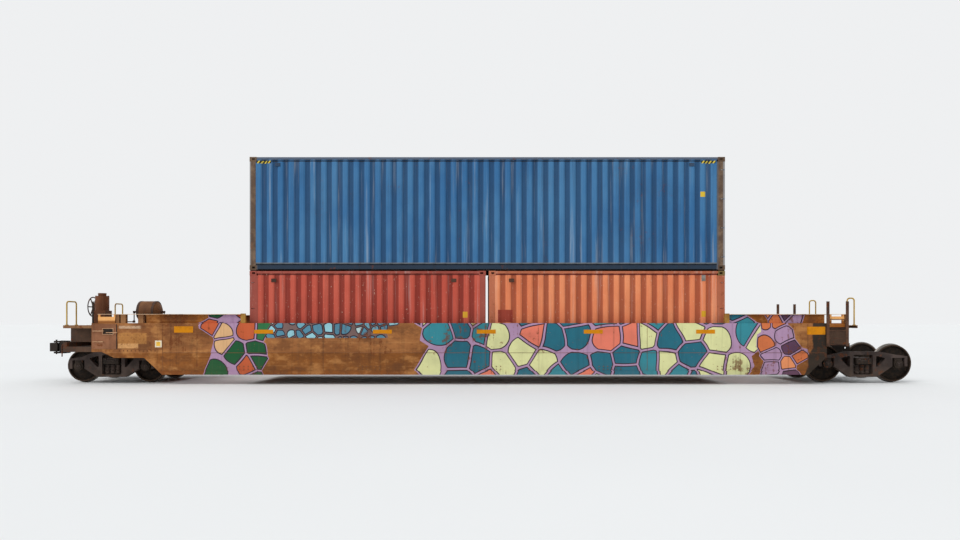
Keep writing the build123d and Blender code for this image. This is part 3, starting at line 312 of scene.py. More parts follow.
def lay_design(finish, colour, field, bend_x, bend_z):
    """Lay one field of pebbles over a colour. The far side gets other pebbles."""
    x_low, x_high, z_low, z_high, size, ground, *paints = field
    far_shift = finish.y * FAR_SHIFT
    across = finish.x + far_shift + bend_x * BEND
    upward = finish.z + bend_z * BEND
    place = finish.node("ShaderNodeCombineXYZ", inputs={0: across, 1: upward})
    depth, tone, middle = cell_field(finish, place, size)
    rim = RIM_WIDTH / size
    fill = paints[0]
    for share, paint in zip(TONE_SHARES, paints[1:]):
        fill = finish.over(tone.above(share), fill, paint)
    cloud = finish.noise(1.8, 3, shift=5.9).smooth(0.4, 0.7)
    fill = finish.over(cloud * 0.12, fill, PLUM)
    painted = finish.over(depth.smooth(0.0, 0.006), ground, PLUM)
    painted = finish.over(depth.smooth(rim, rim + 0.006), painted, fill)
    middle_x = middle - far_shift - BEND / 2
    inside = middle_x.above(x_low) * middle_x.below(x_high)
    return finish.over(inside * finish.z.between(z_low, z_high, 0.03), colour, painted)


print("design fields", len(DESIGN_FIELDS))


# %% Side paint
SEAM_LEVEL = 0.775
SEAM = rail_z + SEAM_LEVEL
NAKED_END = well_x + 8.31
PAINT_DEPTH = 0.004  # how far in from the outer face the painted design still shows
FADED_PATCHES = [
    # x from, x to, z from, z to, strength, tone
    (-8.98, -8.28, 1.04, 1.30, 0.50, (198, 138, 70)),
    (-8.98, -8.49, 0.93, 1.03, 0.70, (222, 168, 108)),
    (-8.96, -8.42, 1.43, 1.48, 0.55, (222, 190, 156)),
]
SIDE_LAYERS = [
    # noise scale, detail, stretch and shift, then where the layer starts, where it is full,
    # its strength and its tone. One that is full below its start lies in the low places.
    (1.0, 4, (0.25, 0.25, 26), 1.9, 0.56, 0.70, 0.22, (196, 142, 88)),
    (2.3, 7, (0.8, 0.8, 1.3), 6.7, 0.50, 0.64, 0.50, (92, 52, 26)),
    (2.3, 7, (0.8, 0.8, 1.3), 6.7, 0.48, 0.34, 0.50, (196, 136, 76)),
    (1.0, 4, (5, 5, 0.7), 2.6, 0.55, 0.72, 0.30, (88, 54, 32)),
    (7.5, 5, (0.7, 0.7, 1.2), 3.7, 0.52, 0.66, 0.26, (84, 48, 26)),
    (7.5, 5, (0.7, 0.7, 1.2), 3.7, 0.46, 0.34, 0.22, (206, 146, 84)),
]


def side_paint(name, low_tones, high_tones, outer_face, naked_end=False):
    """Make the paint of the long sides, which are tanner above the seam than below it."""
    finish = Finish(name, 0.2)
    drift = finish.noise(1.0, 6, stretch=(0.35, 0.35, 1.6), shift=5.5).smooth(0.36, 0.66)
    lower = finish.over(drift, *low_tones)
    upper = finish.over(drift, *high_tones)
    colour = finish.over(finish.z.smooth(SEAM - 0.01, SEAM), lower, upper)
    for scale, detail, stretch, shift, start, full, strength, tone in SIDE_LAYERS:
        layer = finish.noise(scale, detail, stretch, shift).smooth(start, full)
        colour = finish.over(layer * strength, colour, tone)
    faint = finish.noise(22.0, 5).smooth(0.3, 0.5)
    for x_low, x_high, z_low, z_high, strength, tone in FADED_PATCHES:
        faded = finish.patch(x_low, x_high, z_low, z_high, soft=0.02)
        colour = finish.over(faded * faint * strength, colour, tone)
    bend_x = finish.noise(0.9, 1, shift=4.2)
    bend_z = finish.noise(0.9, 1, shift=9.4)
    painted = colour
    for field in DESIGN_FIELDS:
        painted = lay_design(finish, painted, field, bend_x, bend_z)
    kept = finish.noise(16.0, 6, shift=2.2).smooth(0.28, 0.36)
    colour = finish.over(kept * finish.y.size().above(outer_face), colour, painted)
    if naked_end:
        ragged = finish.x + finish.noise(2.4, 5) * 0.22 + (0.95 - finish.z).larger(0.0) * 0.30
        naked = ragged.smooth(NAKED_END + 0.07, NAKED_END + 0.11)
        bare_steel = finish.over(drift, (40, 33, 26), (62, 48, 36))
        colour = finish.over(naked, colour, bare_steel)
    aged = weather(finish, colour, streaks=0.34, rust=0.42, dust=0.10, grime=0.24)
    colour, roughness, height = aged
    if naked_end:
        colour = finish.over(naked * 0.6, colour, bare_steel)
    return finish.done(colour, roughness, height, distance=0.003)


RAISED_BROWN = ((124, 68, 16), (154, 88, 22))
FOOT_BROWN = ((118, 62, 18), (154, 88, 26))
SHEET_BROWNS = ((118, 68, 24), (148, 88, 34)), ((132, 80, 40), (164, 106, 58))
RAISED_BACK = 0.06  # how far the raised chords stand back from the sheets
sheet_skin = sheet_face - PAINT_DEPTH
sheet_paint = side_paint("side_paint", *SHEET_BROWNS, sheet_skin, naked_end=True)
foot_paint = side_paint("foot_paint", FOOT_BROWN, FOOT_BROWN, sheet_skin, naked_end=True)
raised_skin = sheet_skin - RAISED_BACK
raised_paint = side_paint("raised_paint", RAISED_BROWN, RAISED_BROWN, raised_skin)
print("side paint ready")


# %% Plain weathered paints
def weathered(name, first, second, scale=1.2, bump=0.003, specular=0.2, **amounts):
    """Make a paint that drifts between two tones and is aged as amounts say."""
    finish = Finish(name, specular)
    drift = finish.noise(scale, 4, shift=6.1).smooth(0.35, 0.65)
    colour = finish.over(drift, first, second)
    colour, roughness, height = weather(finish, colour, **amounts)
    return finish.done(colour, roughness, height, distance=bump)


frame_paint = weathered("frame_paint", (92, 58, 38), (134, 86, 54), rust=0.5, dust=0.2)
end_paint = weathered("end_paint", (66, 48, 38), (92, 68, 52), rust=0.5, dust=0.1)
pale_edge = weathered("pale_edge", (170, 128, 96), (200, 160, 124), rust=0.4, dust=0.0, scale=2.0)
plate_steel = weathered(
    "plate_steel", (120, 116, 110), (150, 146, 140), scale=6.0, rust=0.3, dust=0.0
)
yellow_paint = weathered(
    "yellow_paint", (168, 132, 40), (196, 160, 70), rust=0.55, dust=0.0, scale=3.0
)


def two_tone(name, tones, x_low, x_high, other_tones):
    """Make a paint that has other tones between two places along the wagon."""
    finish = Finish(name, 0.2)
    drift = finish.noise(3.0, 4, shift=6.1).smooth(0.35, 0.65)
    colour = finish.over(drift, *tones)
    other = finish.over(drift, *other_tones)
    colour = finish.over(finish.x.between(x_low, x_high, 0.002), colour, other)
    colour, roughness, height = weather(finish, colour, streaks=0.4, rust=0.5, dust=0.0)
    return finish.done(colour, roughness, height, distance=0.002)


rail_paint = two_tone(
    "rail_paint", ((168, 132, 40), (196, 160, 70)), -9.70, -9.60, ((46, 38, 32), (64, 52, 42))
)
# Between these places, on the left end's grab irons, the pale tones are pale rust with a painted
# highlight.
ladder_paint = two_tone(
    "ladder_paint", ((66, 44, 33), (96, 66, 48)), -9.70, -8.90, ((180, 136, 100), (208, 166, 128))
)
guide_paint = weathered(
    "guide_paint", (140, 98, 40), (172, 128, 58), rust=0.6, dust=0.0, scale=3.0
)
tank_paint = weathered("tank_paint", (96, 60, 34), (134, 90, 54), rust=0.5, dust=0.0, grime=0.30)
valve_paint = weathered("valve_paint", (92, 52, 28), (122, 72, 42), rust=0.5, dust=0.0, grime=0.3)
gear_paint = weathered("gear_paint", (58, 42, 34), (88, 60, 46), rust=0.5, dust=0.0, grime=0.4)
cast_look = {"scale": 3.0, "specular": 0.15}
truck_dust = {"dust": 0.12, "dust_top": 0.6}
truck_steel = weathered(
    "truck_steel", (52, 43, 40), (76, 64, 59), bump=0.004, rust=0.3, **truck_dust, **cast_look
)
dark_steel = weathered("dark_steel", (30, 25, 22), (48, 39, 33), rust=0.35, dust=0.1, **cast_look)
rubber = weathered(
    "rubber", (20, 19, 19), (34, 32, 31), streaks=0.1, rust=0.0, dust=0.0, grime=0.0
)
print("plain paints ready")

# %% [markdown]
# ## Edges and treads that people walk on
# The walkways' top edge is pale, its own pale tone with a painted highlight, and shows as a
# thin bright line from the side, while the posts under it stay brown. Their steps are orange,
# pale at the top as a painted highlight. The decks are plates with a raised tread.

# %% Walkways and decks
def tread_bars(finish):
    """Give the height of a tread plate: short bars that lean to and fro."""
    turned = (finish.x + finish.y).wrap(0.09)
    other = (finish.x - finish.y).wrap(0.09)
    first = turned.between(0.03, 0.042, 0.004) * other.between(0.01, 0.05, 0.006)
    second = other.between(0.07, 0.082, 0.004) * turned.between(0.055, 0.085, 0.006)
    return first.larger(second)


def walkway_finish():
    finish = Finish("walkway_paint", 0.2)
    drift = finish.noise(2.0, 4, shift=6.1).smooth(0.35, 0.65)
    brown = finish.over(drift, (112, 74, 44), (150, 104, 64))
    pale = finish.over(drift, (216, 182, 148), (238, 214, 184))
    # Painted highlight: the steps go from dark orange low down to pale at their top.
    step_orange_and_highlight = finish.over(finish.z.smooth(1.59, 1.65), (142, 84, 34), (236, 172, 104))
    steps = finish.x.between(-9.50, -9.06, 0.004).larger(finish.x.between(9.03, 9.40, 0.004))
    colour = finish.over(steps, brown, step_orange_and_highlight)
    # The top edge is pale: its own pale tone with a painted highlight.
    colour = finish.over(finish.z.above(raised_top - 0.001), colour, pale)
    colour, roughness, height = weather(finish, colour, streaks=0.3, rust=0.4, dust=0.0)
    return finish.done(colour, roughness, height + tread_bars(finish) * 0.8, distance=0.002)


def deck_finish():
    finish = Finish("deck_paint", 0.2)
    drift = finish.noise(1.6, 5, shift=6.1).smooth(0.35, 0.65)
    colour = finish.over(drift, (98, 64, 42), (144, 102, 68))
    bars = tread_bars(finish)
    colour = finish.over(bars * 0.35, colour, (176, 138, 100))
    colour, roughness, height = weather(finish, colour, streaks=0.1, rust=0.55, dust=0.0, grime=0.5)
    return finish.done(colour, roughness, height + bars, distance=0.003)


walkway_paint = walkway_finish()
deck_paint = deck_finish()
print("walkways ready")

# %% [markdown]
# ## Wheels
# Only the tread and the flange, which the rails polish, are bright steel. The rest is dark
# with oil and brake dust, and darker still as painted shade under the wagon. A wheel turns,
# so its finish goes by the distance from its own axle, and not by the height.


# %% Wheel steel
FLANGE_DEPTH = 0.028


def wheel_finish(wheelset):
    low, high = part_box(wheelset + "_wheels")
    centre_x, centre_z = (low.x + high.x) / 2, (low.z + high.z) / 2
    tread_radius = (high.z - low.z) / 2 - FLANGE_DEPTH
    finish = Finish(wheelset + "_steel", 0.2)
    offset = {0: finish.x - centre_x, 1: finish.z - centre_z}
    from_axle = finish.node("ShaderNodeCombineXYZ", inputs=offset)
    radius = finish.node("ShaderNodeVectorMath", {"operation": "LENGTH"}, {0: from_axle}, output=1)
    spots = finish.noise(12.0, 6)
    # Oil and brake dust, with painted shade: these tones are darker than the grime alone.
    grime = finish.over(spots.smooth(0.35, 0.7), (20, 15, 11), (46, 33, 22))
    rim = radius.between(tread_radius - 0.034, tread_radius - 0.008, 0.004)
    grime = finish.over(rim * 0.4, grime, (84, 62, 46))
    bright = radius.smooth(tread_radius - 0.0045, tread_radius - 0.002)
    colour = finish.over(bright, grime, (122, 116, 110))
    roughness = 0.75 - bright * 0.4
    return finish.done(colour, roughness, spots, distance=0.002, metallic=bright * 0.8)


# %% [markdown]
# ## The freight boxes
# Both layers are painted corrugated steel. The left lower box is crimson and the right one
# a sun-bleached red, and they share their solids, so the finish chooses by place. The walls'
# hollow parts take a darker tone as painted shade, which is most of what makes corrugated
# steel look like steel from far away, so the finish reads how far out it is.

# %% Box paints
POST_BROWN = (118, 96, 76)
HOLLOW_OUT, HOLLOW_IN = box_face - 0.020, box_face - 0.038
POST_DEPTH = 0.13
HAZARD_LEVELS = upper_high.z - 0.162, upper_high.z - 0.096
HAZARD_RUNS = [
    (upper_low.x + 0.17, upper_low.x + 0.55),
    (upper_high.x - 0.61, upper_high.x - 0.24),
]


def hollow_shade_mask(finish):
    """Give 1 in the side walls' hollow parts and 0 on their ridges, where shade is painted."""
    out = finish.y.size()
    return (1 - out.smooth(HOLLOW_IN, HOLLOW_OUT)) * out.above(box_face - 0.056)


def wall_outsides(finish):
    """Give 1 on the side walls' outer faces, whose normals point away from the middle."""
    normal = finish.node("ShaderNodeNewGeometry", output="True Normal")
    outward = (finish.parts(normal)[1] * finish.y).above(0.0)
    return outward * finish.y.size().above(box_face - 0.06)


def rusted_posts(finish, colour, low, high):
    """Lay rusted steel over the corner posts, which stand before low and after high."""
    ends = finish.x.below(low).larger(finish.x.above(high))
    ends = ends * finish.y.size().above(box_face - POST_DEPTH)
    rusted = finish.noise(5.0, 6, shift=0.7).smooth(0.35, 0.6)
    from_end = (high - low) / 2 - (finish.x - (high + low) / 2).size()
    post = finish.over(rusted, POST_BROWN, (88, 68, 54))
    post = finish.over(from_end.below(-0.165) * 0.7, post, (146, 146, 148))
    post = finish.over(from_end.above(-0.045) * 0.7, post, (84, 92, 102))
    return finish.over(ends, colour, post)


def hazard_dashes(finish, colour, outsides):
    """Lay slanted dark and yellow dashes under the top edge, near both ends."""
    slant = (finish.x - finish.z * 0.7).wrap(0.092).above(0.05)
    stripe = finish.over(slant, (26, 24, 22), (214, 190, 70))
    for x_low, x_high in HAZARD_RUNS:
        dashes = finish.patch(x_low, x_high, *HAZARD_LEVELS, soft=0.002)
        colour = finish.over(dashes * outsides, colour, stripe)
    return colour


def box_paint(name, tones, hazard=False, posts=None, rails=(), marks_and_shadows=(), flecks=0.0, **amounts):
    """Make a box's paint from tones, each held from its own place along the load."""
    finish = Finish(name, 0.25)
    fade = finish.noise(0.7, 4, stretch=(1, 1, 0.6), shift=2.9).smooth(0.35, 0.7)
    runs = finish.noise(1.0, 4, stretch=(9, 9, 0.3), shift=6.6)
    colour = None
    for start, tone, faded, hollow_shade in tones:
        mixed = finish.over(fade, tone, faded)
        # Painted shade: the walls' hollow parts take the darker tone.
        mixed = finish.over(hollow_shade_mask(finish) * 0.74, mixed, hollow_shade)
        colour = mixed if colour is None else finish.over(finish.x.above(start), colour, mixed)
    colour = finish.over(runs.smooth(0.55, 0.75) * 0.22, colour, (214, 214, 208))
    outsides = wall_outsides(finish)
    # Marks in plain tone, among them painted shadow lines along the walls.
    for x_low, x_high, z_low, z_high, tone in marks_and_shadows:
        mark_and_shadow_mask = finish.patch(x_low, x_high, z_low, z_high, 0.003) * outsides
        colour = finish.over(mark_and_shadow_mask, colour, tone)
    if flecks:
        fleck = finish.noise(24.0, 3, stretch=(1.6, 1.6, 0.5), shift=8.1).smooth(0.67, 0.70)
        colour = finish.over(fleck * flecks, colour, (226, 202, 176))
    # Bands along the rails; the upper box's lowest band is painted shade.
    for z_low, z_high, tone in rails:
        colour = finish.over(finish.z.between(z_low, z_high, 0.002), colour, tone)
    if posts is not None:
        colour = rusted_posts(finish, colour, *posts)
    if hazard:
        colour = hazard_dashes(finish, colour, outsides)
    colour, roughness, height = weather(finish, colour, **amounts)
    return finish.done(colour, roughness - 0.08, height, distance=0.002)


# Rows: start along the load, tone, faded tone, and the darker tone painted as shade in the hollow
# parts.
BLUE = (-99, (46, 102, 150), (68, 120, 162), (16, 54, 90))
CRIMSON = (-99, (184, 74, 56), (198, 92, 72), (112, 26, 14))
SALMON = (load_x, (218, 120, 78), (232, 146, 100), (138, 54, 28))
BLUE_FRAME = (-99, (40, 62, 88), (52, 74, 98), (30, 50, 70))
CRIMSON_FRAME = (-99, (146, 66, 54), (160, 80, 66), (120, 50, 42))
SALMON_FRAME = (load_x, (168, 92, 62), (186, 108, 76), (140, 70, 48))
OLIVE_FRAME = (upper_high.x - 0.3, (112, 94, 52), (134, 114, 68), (90, 74, 44))
upper_posts = (upper_low.x + 0.2, upper_high.x - 0.215)
upper_rails_and_shade = [
    (upper_high.z - 0.09, upper_high.z, (84, 96, 114)),
    (upper_low.z, upper_low.z + 0.119, (31, 48, 66)),
    # Painted shade: a near-black strip at the box's bottom edge, where it sits on the boxes below.
    (upper_low.z, upper_low.z + 0.022, (12, 16, 22)),
]
lower_marks_and_shadows = [
    # x from, x to, z from, z to, plain tone; a row along the whole length is a painted shadow line
    (-0.27, -0.15, 1.70, 1.85, (214, 160, 40)),
    (0.63, 1.01, 1.58, 1.90, (150, 58, 40)),
    (5.855, 5.965, 1.72, 1.87, (210, 158, 30)),
    # Painted shadow under the top rail.
    (-99, 99, lower_high.z - 0.108, lower_high.z - 0.072, (106, 36, 24)),
]
upper_marks_and_shadows = [
    # Painted shadow under the top rail, then painted shadow above the bottom rail.
    (-99, 99, upper_high.z - 0.116, upper_high.z - 0.090, (24, 42, 62)),
    (-99, 99, upper_low.z + 0.110, upper_low.z + 0.162, (14, 26, 40)),
    (-99, 99, upper_low.z + 0.162, upper_low.z + 0.188, (104, 110, 114)),
    (5.83, 5.95, 4.80, 4.93, (214, 180, 50)),
]
wall_ageing = {"streaks": 0.3, "rust": 0.12, "dust": 0.0, "grime": 0.10}
frame_ageing = {"streaks": 0.3, "rust": 0.25, "dust": 0.0, "grime": 0.15}
blue_paint = box_paint("blue_paint", [BLUE], hazard=True, marks_and_shadows=upper_marks_and_shadows, **wall_ageing)
blue_frame = box_paint(
    "blue_frame_paint", [BLUE_FRAME], posts=upper_posts, rails=upper_rails_and_shade, **frame_ageing
)
blue_casting = box_paint(
    "upper_casting_paint", [(-99, (86, 66, 50), (110, 88, 66), (86, 66, 50))], rust=0.5, dust=0.0
)
red_paint = box_paint("red_paint", [CRIMSON, SALMON], marks_and_shadows=lower_marks_and_shadows, flecks=0.5, **wall_ageing)
red_frame = box_paint("red_frame_paint", [CRIMSON_FRAME, SALMON_FRAME], flecks=0.3, **frame_ageing)
lower_casting_tones = [CRIMSON_FRAME, SALMON_FRAME, OLIVE_FRAME]
red_casting = box_paint("lower_casting_paint", lower_casting_tones, **frame_ageing)
print("box paints ready")


# %% Floors of the boxes
def floor_finish(name, box_bottoms):
    """Make plywood above and dark coated steel below, at the decks' own level."""
    finish = Finish(name)
    grain = finish.noise(3.0, 6, stretch=(1, 14, 1))
    board = finish.x.wrap(1.2).above(1.19)
    wood = finish.over(grain.smooth(0.3, 0.7), (118, 82, 52), (156, 116, 78))
    wood = finish.over(board, wood, GRIME)
    steel = finish.z.below(box_bottoms + 0.128)
    colour = finish.over(steel, wood, (52, 44, 40))
    return finish.done(colour, 0.55 + grain * 0.2, grain, distance=0.001)


# %% Dress the CAD solids
finish_of = {}
for finish, names in (
    (sheet_paint, ["side_sheets"]),
    (raised_paint, ["top_chords", "raised_chords"]),
    (foot_paint, ["bottom_chords"]),
    (walkway_paint, ["walkways"]),
    (deck_paint, ["end_decks"]),
    (ladder_paint, ["ladders"]),
    (rail_paint, ["end_rails"]),
    (guide_paint, ["box_guides"]),
    (end_paint, ["end_sill", "end_frame"]),
    (tank_paint, ["air_reservoir"]),
    (valve_paint, ["brake_valve"]),
    (gear_paint, ["hand_brake", "uncoupling_lever"]),
    (dark_steel, ["articulation", "coupler", "knuckle", "box_locks"]),
    (blue_casting, ["upper_castings"]),
    (blue_frame, ["upper_frame"]),
    (blue_paint, ["upper_walls", "upper_roof"]),
    (floor_finish("upper_floor_finish", upper_low.z), ["upper_floor"]),
    (red_casting, ["lower_castings"]),
    (red_frame, ["lower_frame"]),
    (red_paint, ["lower_walls", "lower_roof"]),
    (floor_finish("lower_floor_finish", lower_low.z), ["lower_floor"]),
):
    finish_of.update(dict.fromkeys(names, finish))
wheelsets = [f"{truck}_{end}" for truck in TRUCKS for end in ENDS]
wheel_steel = {wheelset: wheel_finish(wheelset) for wheelset in wheelsets}
for node_name, node in nodes.items():
    if "door" in node_name:
        chosen = blue_paint if node_name.startswith("upper") else red_paint
    elif node_name.endswith("_wheels"):
        chosen = wheel_steel[node_name.removesuffix("_wheels")]
    elif node_name.endswith("_sideframes"):
        chosen = truck_steel
    elif "truck" in node_name:
        chosen = dark_steel
    else:
        chosen = finish_of.get(node_name, frame_paint)
    node.data.materials.clear()
    node.data.materials.append(chosen)
print("dressed", len(nodes), "nodes")

# %% [markdown]
# ## Small pieces in mesh code
# Bolts, plates and coils are added by mesh code. Many like pieces on one body share one
# mesh, so the scene stays short and each piece still rides on the body that carries it.


# %% Helpers for small pieces
def add_block(shape, low, high):
    """Add an upright block between two corners."""
    low, high = Vector(map(min, low, high)), Vector(map(max, low, high))
    place = Matrix.Translation((low + high) / 2) @ Matrix.Diagonal((*(high - low), 1))
    bmesh.ops.create_cube(shape, size=1, matrix=place)


def add_plates(shape, low, high, proud, face=sheet_face):
    """Add a plate on both long sides, between two corners given as X and Z."""
    for side in SIDES:
        inner, outer = side * face, side * (face + proud)
        add_block(shape, (low[0], inner, low[1]), (high[0], outer, high[1]))


def add_round(shape, centre, direction, radius, height, sides=6, taper=0.9):
    """Add a bolt head or a boss that stands on a face, along its direction."""
    direction = Vector(direction).normalized()
    turn = direction.to_track_quat("Z", "Y").to_matrix().to_4x4()
    middle = Vector(centre) + direction * (height / 2)
    bmesh.ops.create_cone(
        shape,
        cap_ends=True,
        segments=sides,
        radius1=radius,
        radius2=radius * taper,
        depth=height,
        matrix=Matrix.Translation(middle) @ turn,
    )


def add_frame(shape, axis, face, outward, first, second, rim, height):
    """Add a flat rectangular rim on a face that looks along X or Y."""
    (u_low, z_low), (u_high, z_high) = first, second
    bars = (
        ((u_low, z_low), (u_high, z_low + rim)),
        ((u_low, z_high - rim), (u_high, z_high)),
        ((u_low, z_low + rim), (u_low + rim, z_high - rim)),
        ((u_high - rim, z_low + rim), (u_high, z_high - rim)),
    )
    for (u_from, z_from), (u_to, z_to) in bars:
        if axis == "x":
            add_block(shape, (face, u_from, z_from), (face + outward * height, u_to, z_to))
        else:
            add_block(shape, (u_from, face, z_from), (u_to, face + outward * height, z_to))


def ring(centre, radius, count, turn=0.0, upright=False):
    """Give places all round a centre, on a level or on an upright face."""
    places = []
    for index in range(count):
        angle = math.tau * index / count + turn
        first, second = radius * math.cos(angle), radius * math.sin(angle)
        offset = (first, 0, second) if upright else (first, second, 0)
        places.append(Vector(centre) + Vector(offset))
    return places


def stand(name, data, finish):
    """Put a mesh or a curve into the scene, in one finish."""
    piece = bpy.data.objects.new(name, data)
    bpy.context.collection.objects.link(piece)
    data.materials.append(finish)
    return piece


def make_piece(name, shape, finish, body, bevel=0.0):
    """Turn finished mesh code into a piece that rides on a body."""
    mesh = bpy.data.meshes.new(name)
    shape.to_mesh(mesh)
    shape.free()
    piece = stand(name, mesh, finish)
    if bevel:
        edge = piece.modifiers.new("bevel", "BEVEL")
        edge.width = bevel
        edge.segments = 2
    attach(piece, body)
    return piece


def make_tube(name, lines, radius, finish, body):
    """Lay round bars along lines of points, as one curve piece."""
    curve = bpy.data.curves.new(name, "CURVE")
    curve.dimensions = "3D"
    curve.bevel_depth = radius
    curve.bevel_resolution = 2
    curve.use_fill_caps = True
    for points in lines:
        spline = curve.splines.new("POLY")
        spline.points.add(len(points) - 1)
        for target, point in zip(spline.points, points):
            target.co = (*point, 1)
    piece = stand(name, curve, finish)
    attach(piece, body)
    return piece


# %% [markdown]
# ## Side details
# Reflectors are short amber plates on both sides. The seams are weld beads, a few
# millimetres proud, and rows of bolt heads hold the bottom chord.


# %% Reflectors
def reflector_finish():
    finish = Finish("reflector", 0.15)
    cell = finish.node("ShaderNodeTexVoronoi", inputs={"Vector": finish.place, "Scale": 160.0})
    dirt = finish.noise(6.0, 5).smooth(0.45, 0.7)
    colour = finish.over(dirt * 0.35, (206, 130, 0), (138, 86, 20))
    return finish.done(colour, 0.35 + dirt * 0.3, cell, distance=0.001)


amber = reflector_finish()
PLATE = 0.004  # how far plates and seams stand out of the side
REFLECTORS = [
    # middle from the well's middle, level, half length, half height
    (-7.63, 1.37, 0.24, 0.08),
    (-5.60, 1.315, 0.24, 0.05),
    (-2.60, 1.315, 0.24, 0.05),
    (0.03, 1.315, 0.24, 0.05),
    (2.74, 1.315, 0.24, 0.05),
    (5.58, 1.315, 0.24, 0.05),
    (8.38, 1.34, 0.23, 0.10),
]
shape = bmesh.new()
for x, level, half_length, half_height in REFLECTORS:
    low = (well_x + x - half_length, rail_z + level - half_height)
    high = (well_x + x + half_length, rail_z + level + half_height)
    add_plates(shape, low, high, PLATE)
make_piece("reflectors", shape, amber, "car", bevel=0.0015)
print("reflectors", 2 * len(REFLECTORS))

# %% Weld seams on the sides
SEAM_RUNS = [
    # from, to and level, from the well's middle and the rail
    (-8.17, 8.60, SEAM_LEVEL),
    (-9.92, -8.17, 0.870),
]
SEAM_WIDTH, JOINT_WIDTH = 0.009, 0.008
shape = bmesh.new()
for first, last, level in SEAM_RUNS:
    low = (well_x + first, rail_z + level)
    add_plates(shape, low, (well_x + last, rail_z + level + SEAM_WIDTH), PLATE)
for joint in (-8.165, -4.1, 0.0, 4.1, 8.165):
    low = (well_x + joint, rail_z + 0.33)
    add_plates(shape, low, (well_x + joint + JOINT_WIDTH, rail_z + 1.5), PLATE)
make_piece("weld_seams", shape, frame_paint, "car", bevel=0.001)
print("weld seams made")

# %% Bolt rows on the sides
BOLT = 0.014, 0.012  # radius and height of a bolt head
places = []
for group in (-6.0, -3.0, 0.06, 3.1, 6.1):
    for column in range(6):
        for row in range(2):
            x = load_x + group + column * 0.11 - 0.275
            places.append((x, rail_z + 0.365 + row * 0.07))
for column in range(10):
    places.append((well_x - 9.25 + column * 0.1, rail_z + 0.83))
shape = bmesh.new()
for x, z in places:
    for side in SIDES:
        add_round(shape, (x, side * sheet_face, z), (0, side, 0), *BOLT)
make_piece("side_bolts", shape, frame_paint, "car")
print("side bolts", 2 * len(places))

# %% [markdown]
# A small square marker plate sits left of the truck's opening: a pale rim round a yellow
# field, left blank. The set-in panel at the left end has a raised rim round a pocket behind
# the grab iron, and a dark plate in the pocket is painted shade for its depth.

# %% Marker plates and the end panel's pocket
MARKER = (-8.055, 0.945), (-7.885, 1.118)  # lower left and upper right corner
POCKET = (-9.385, 1.262), (-9.095, 1.432)
PANEL = (-9.655, 0.905), (-9.035, 1.530)
PANEL_PROUD = 0.006
PANEL_STRIP = 0.022
MARKER_RIM = 0.035
POCKET_RIM = 0.02


def marker_finish():
    finish = Finish("marker_plate", 0.3)
    (x_low, z_low), (x_high, z_high) = MARKER
    width = finish.x.between(x_low + MARKER_RIM, x_high - MARKER_RIM, 0.003)
    inner = width * finish.z.between(z_low + MARKER_RIM, z_high - MARKER_RIM, 0.003)
    dirt = finish.noise(20.0, 5).smooth(0.45, 0.65)
    colour = finish.over(inner, (232, 220, 190), (236, 186, 60))
    colour = finish.over(dirt * 0.35, colour, (150, 104, 62))
    return finish.done(colour, 0.4 + dirt * 0.3)


panel_paint = weathered(
    "panel_paint", (126, 80, 52), (160, 108, 76), rust=0.5, dust=0.1, grime=0.35
)
shape = bmesh.new()
add_plates(shape, *MARKER, PLATE)
make_piece("marker_plates", shape, marker_finish(), "car", bevel=0.0015)

panels = bmesh.new()
add_plates(panels, *PANEL, PANEL_PROUD)
make_piece("end_panels", panels, panel_paint, "car", bevel=0.003)
# A dark strip along the panel's right edge.
edge_strips = bmesh.new()
panel_x, panel_top = PANEL[1]
strip_low = (panel_x, PANEL[0][1] - 0.01)
add_plates(edge_strips, strip_low, (panel_x + PANEL_STRIP, panel_top), 0.002)
make_piece("panel_edge_strips", edge_strips, dark_steel, "car")

pocket_face = sheet_face + PANEL_PROUD
rims = bmesh.new()
for side in SIDES:
    add_frame(rims, "y", side * pocket_face, side, *POCKET, POCKET_RIM, 0.016)
make_piece("pocket_rims", rims, pale_edge, "car", bevel=0.003)
# Painted shade: a dark plate in the pocket stands for its depth.
pocket_shades = bmesh.new()
pocket_low = Vector(POCKET[0]) + Vector((POCKET_RIM, POCKET_RIM))
pocket_high = Vector(POCKET[1]) - Vector((POCKET_RIM, POCKET_RIM))
add_plates(pocket_shades, pocket_low, pocket_high, 0.002, face=pocket_face)
make_piece("pocket_shade_plates", pocket_shades, dark_steel, "car")
print("markers and pockets made")

# %% [markdown]
# ## Brake gear on the left deck
# The reservoir is held by two bands with bolted feet. Steel pipes lead from it to the
# brake valve and down through the deck. They are rigid pipes, so they are straight runs
# with an elbow fitting at each corner.

# %% Bands on the reservoir
BAND_HALF, BAND_THICK = 0.03, 0.004
BAND_STEPS = 40
BAND_START, BAND_TURN = math.radians(-28), math.radians(236)
FOOT = 0.012  # how thick a foot plate is
tank_middle = (tank_low + tank_high) / 2
tank_radius = (tank_high.y - tank_low.y) / 2
tank_axis_z = tank_high.z - tank_radius


def band_section(middle_x, angle):
    """Give the four corners of a band's section at an angle round the reservoir."""
    corners = []
    for height, half in ((0.0, -1), (0.0, 1), (BAND_THICK, 1), (BAND_THICK, -1)):
        reach = tank_radius - 0.001 + height
        y = tank_middle.y + reach * math.cos(angle)
        z = min(tank_axis_z + reach * math.sin(angle), cad_high.z)
        corners.append((middle_x + half * BAND_HALF, y, z))
    return corners


def add_foot(shape, x, y, half_x, half_y):
    """Add a foot plate on the deck."""
    add_block(shape, (x - half_x, y - half_y, deck_z), (x + half_x, y + half_y, deck_z + FOOT))


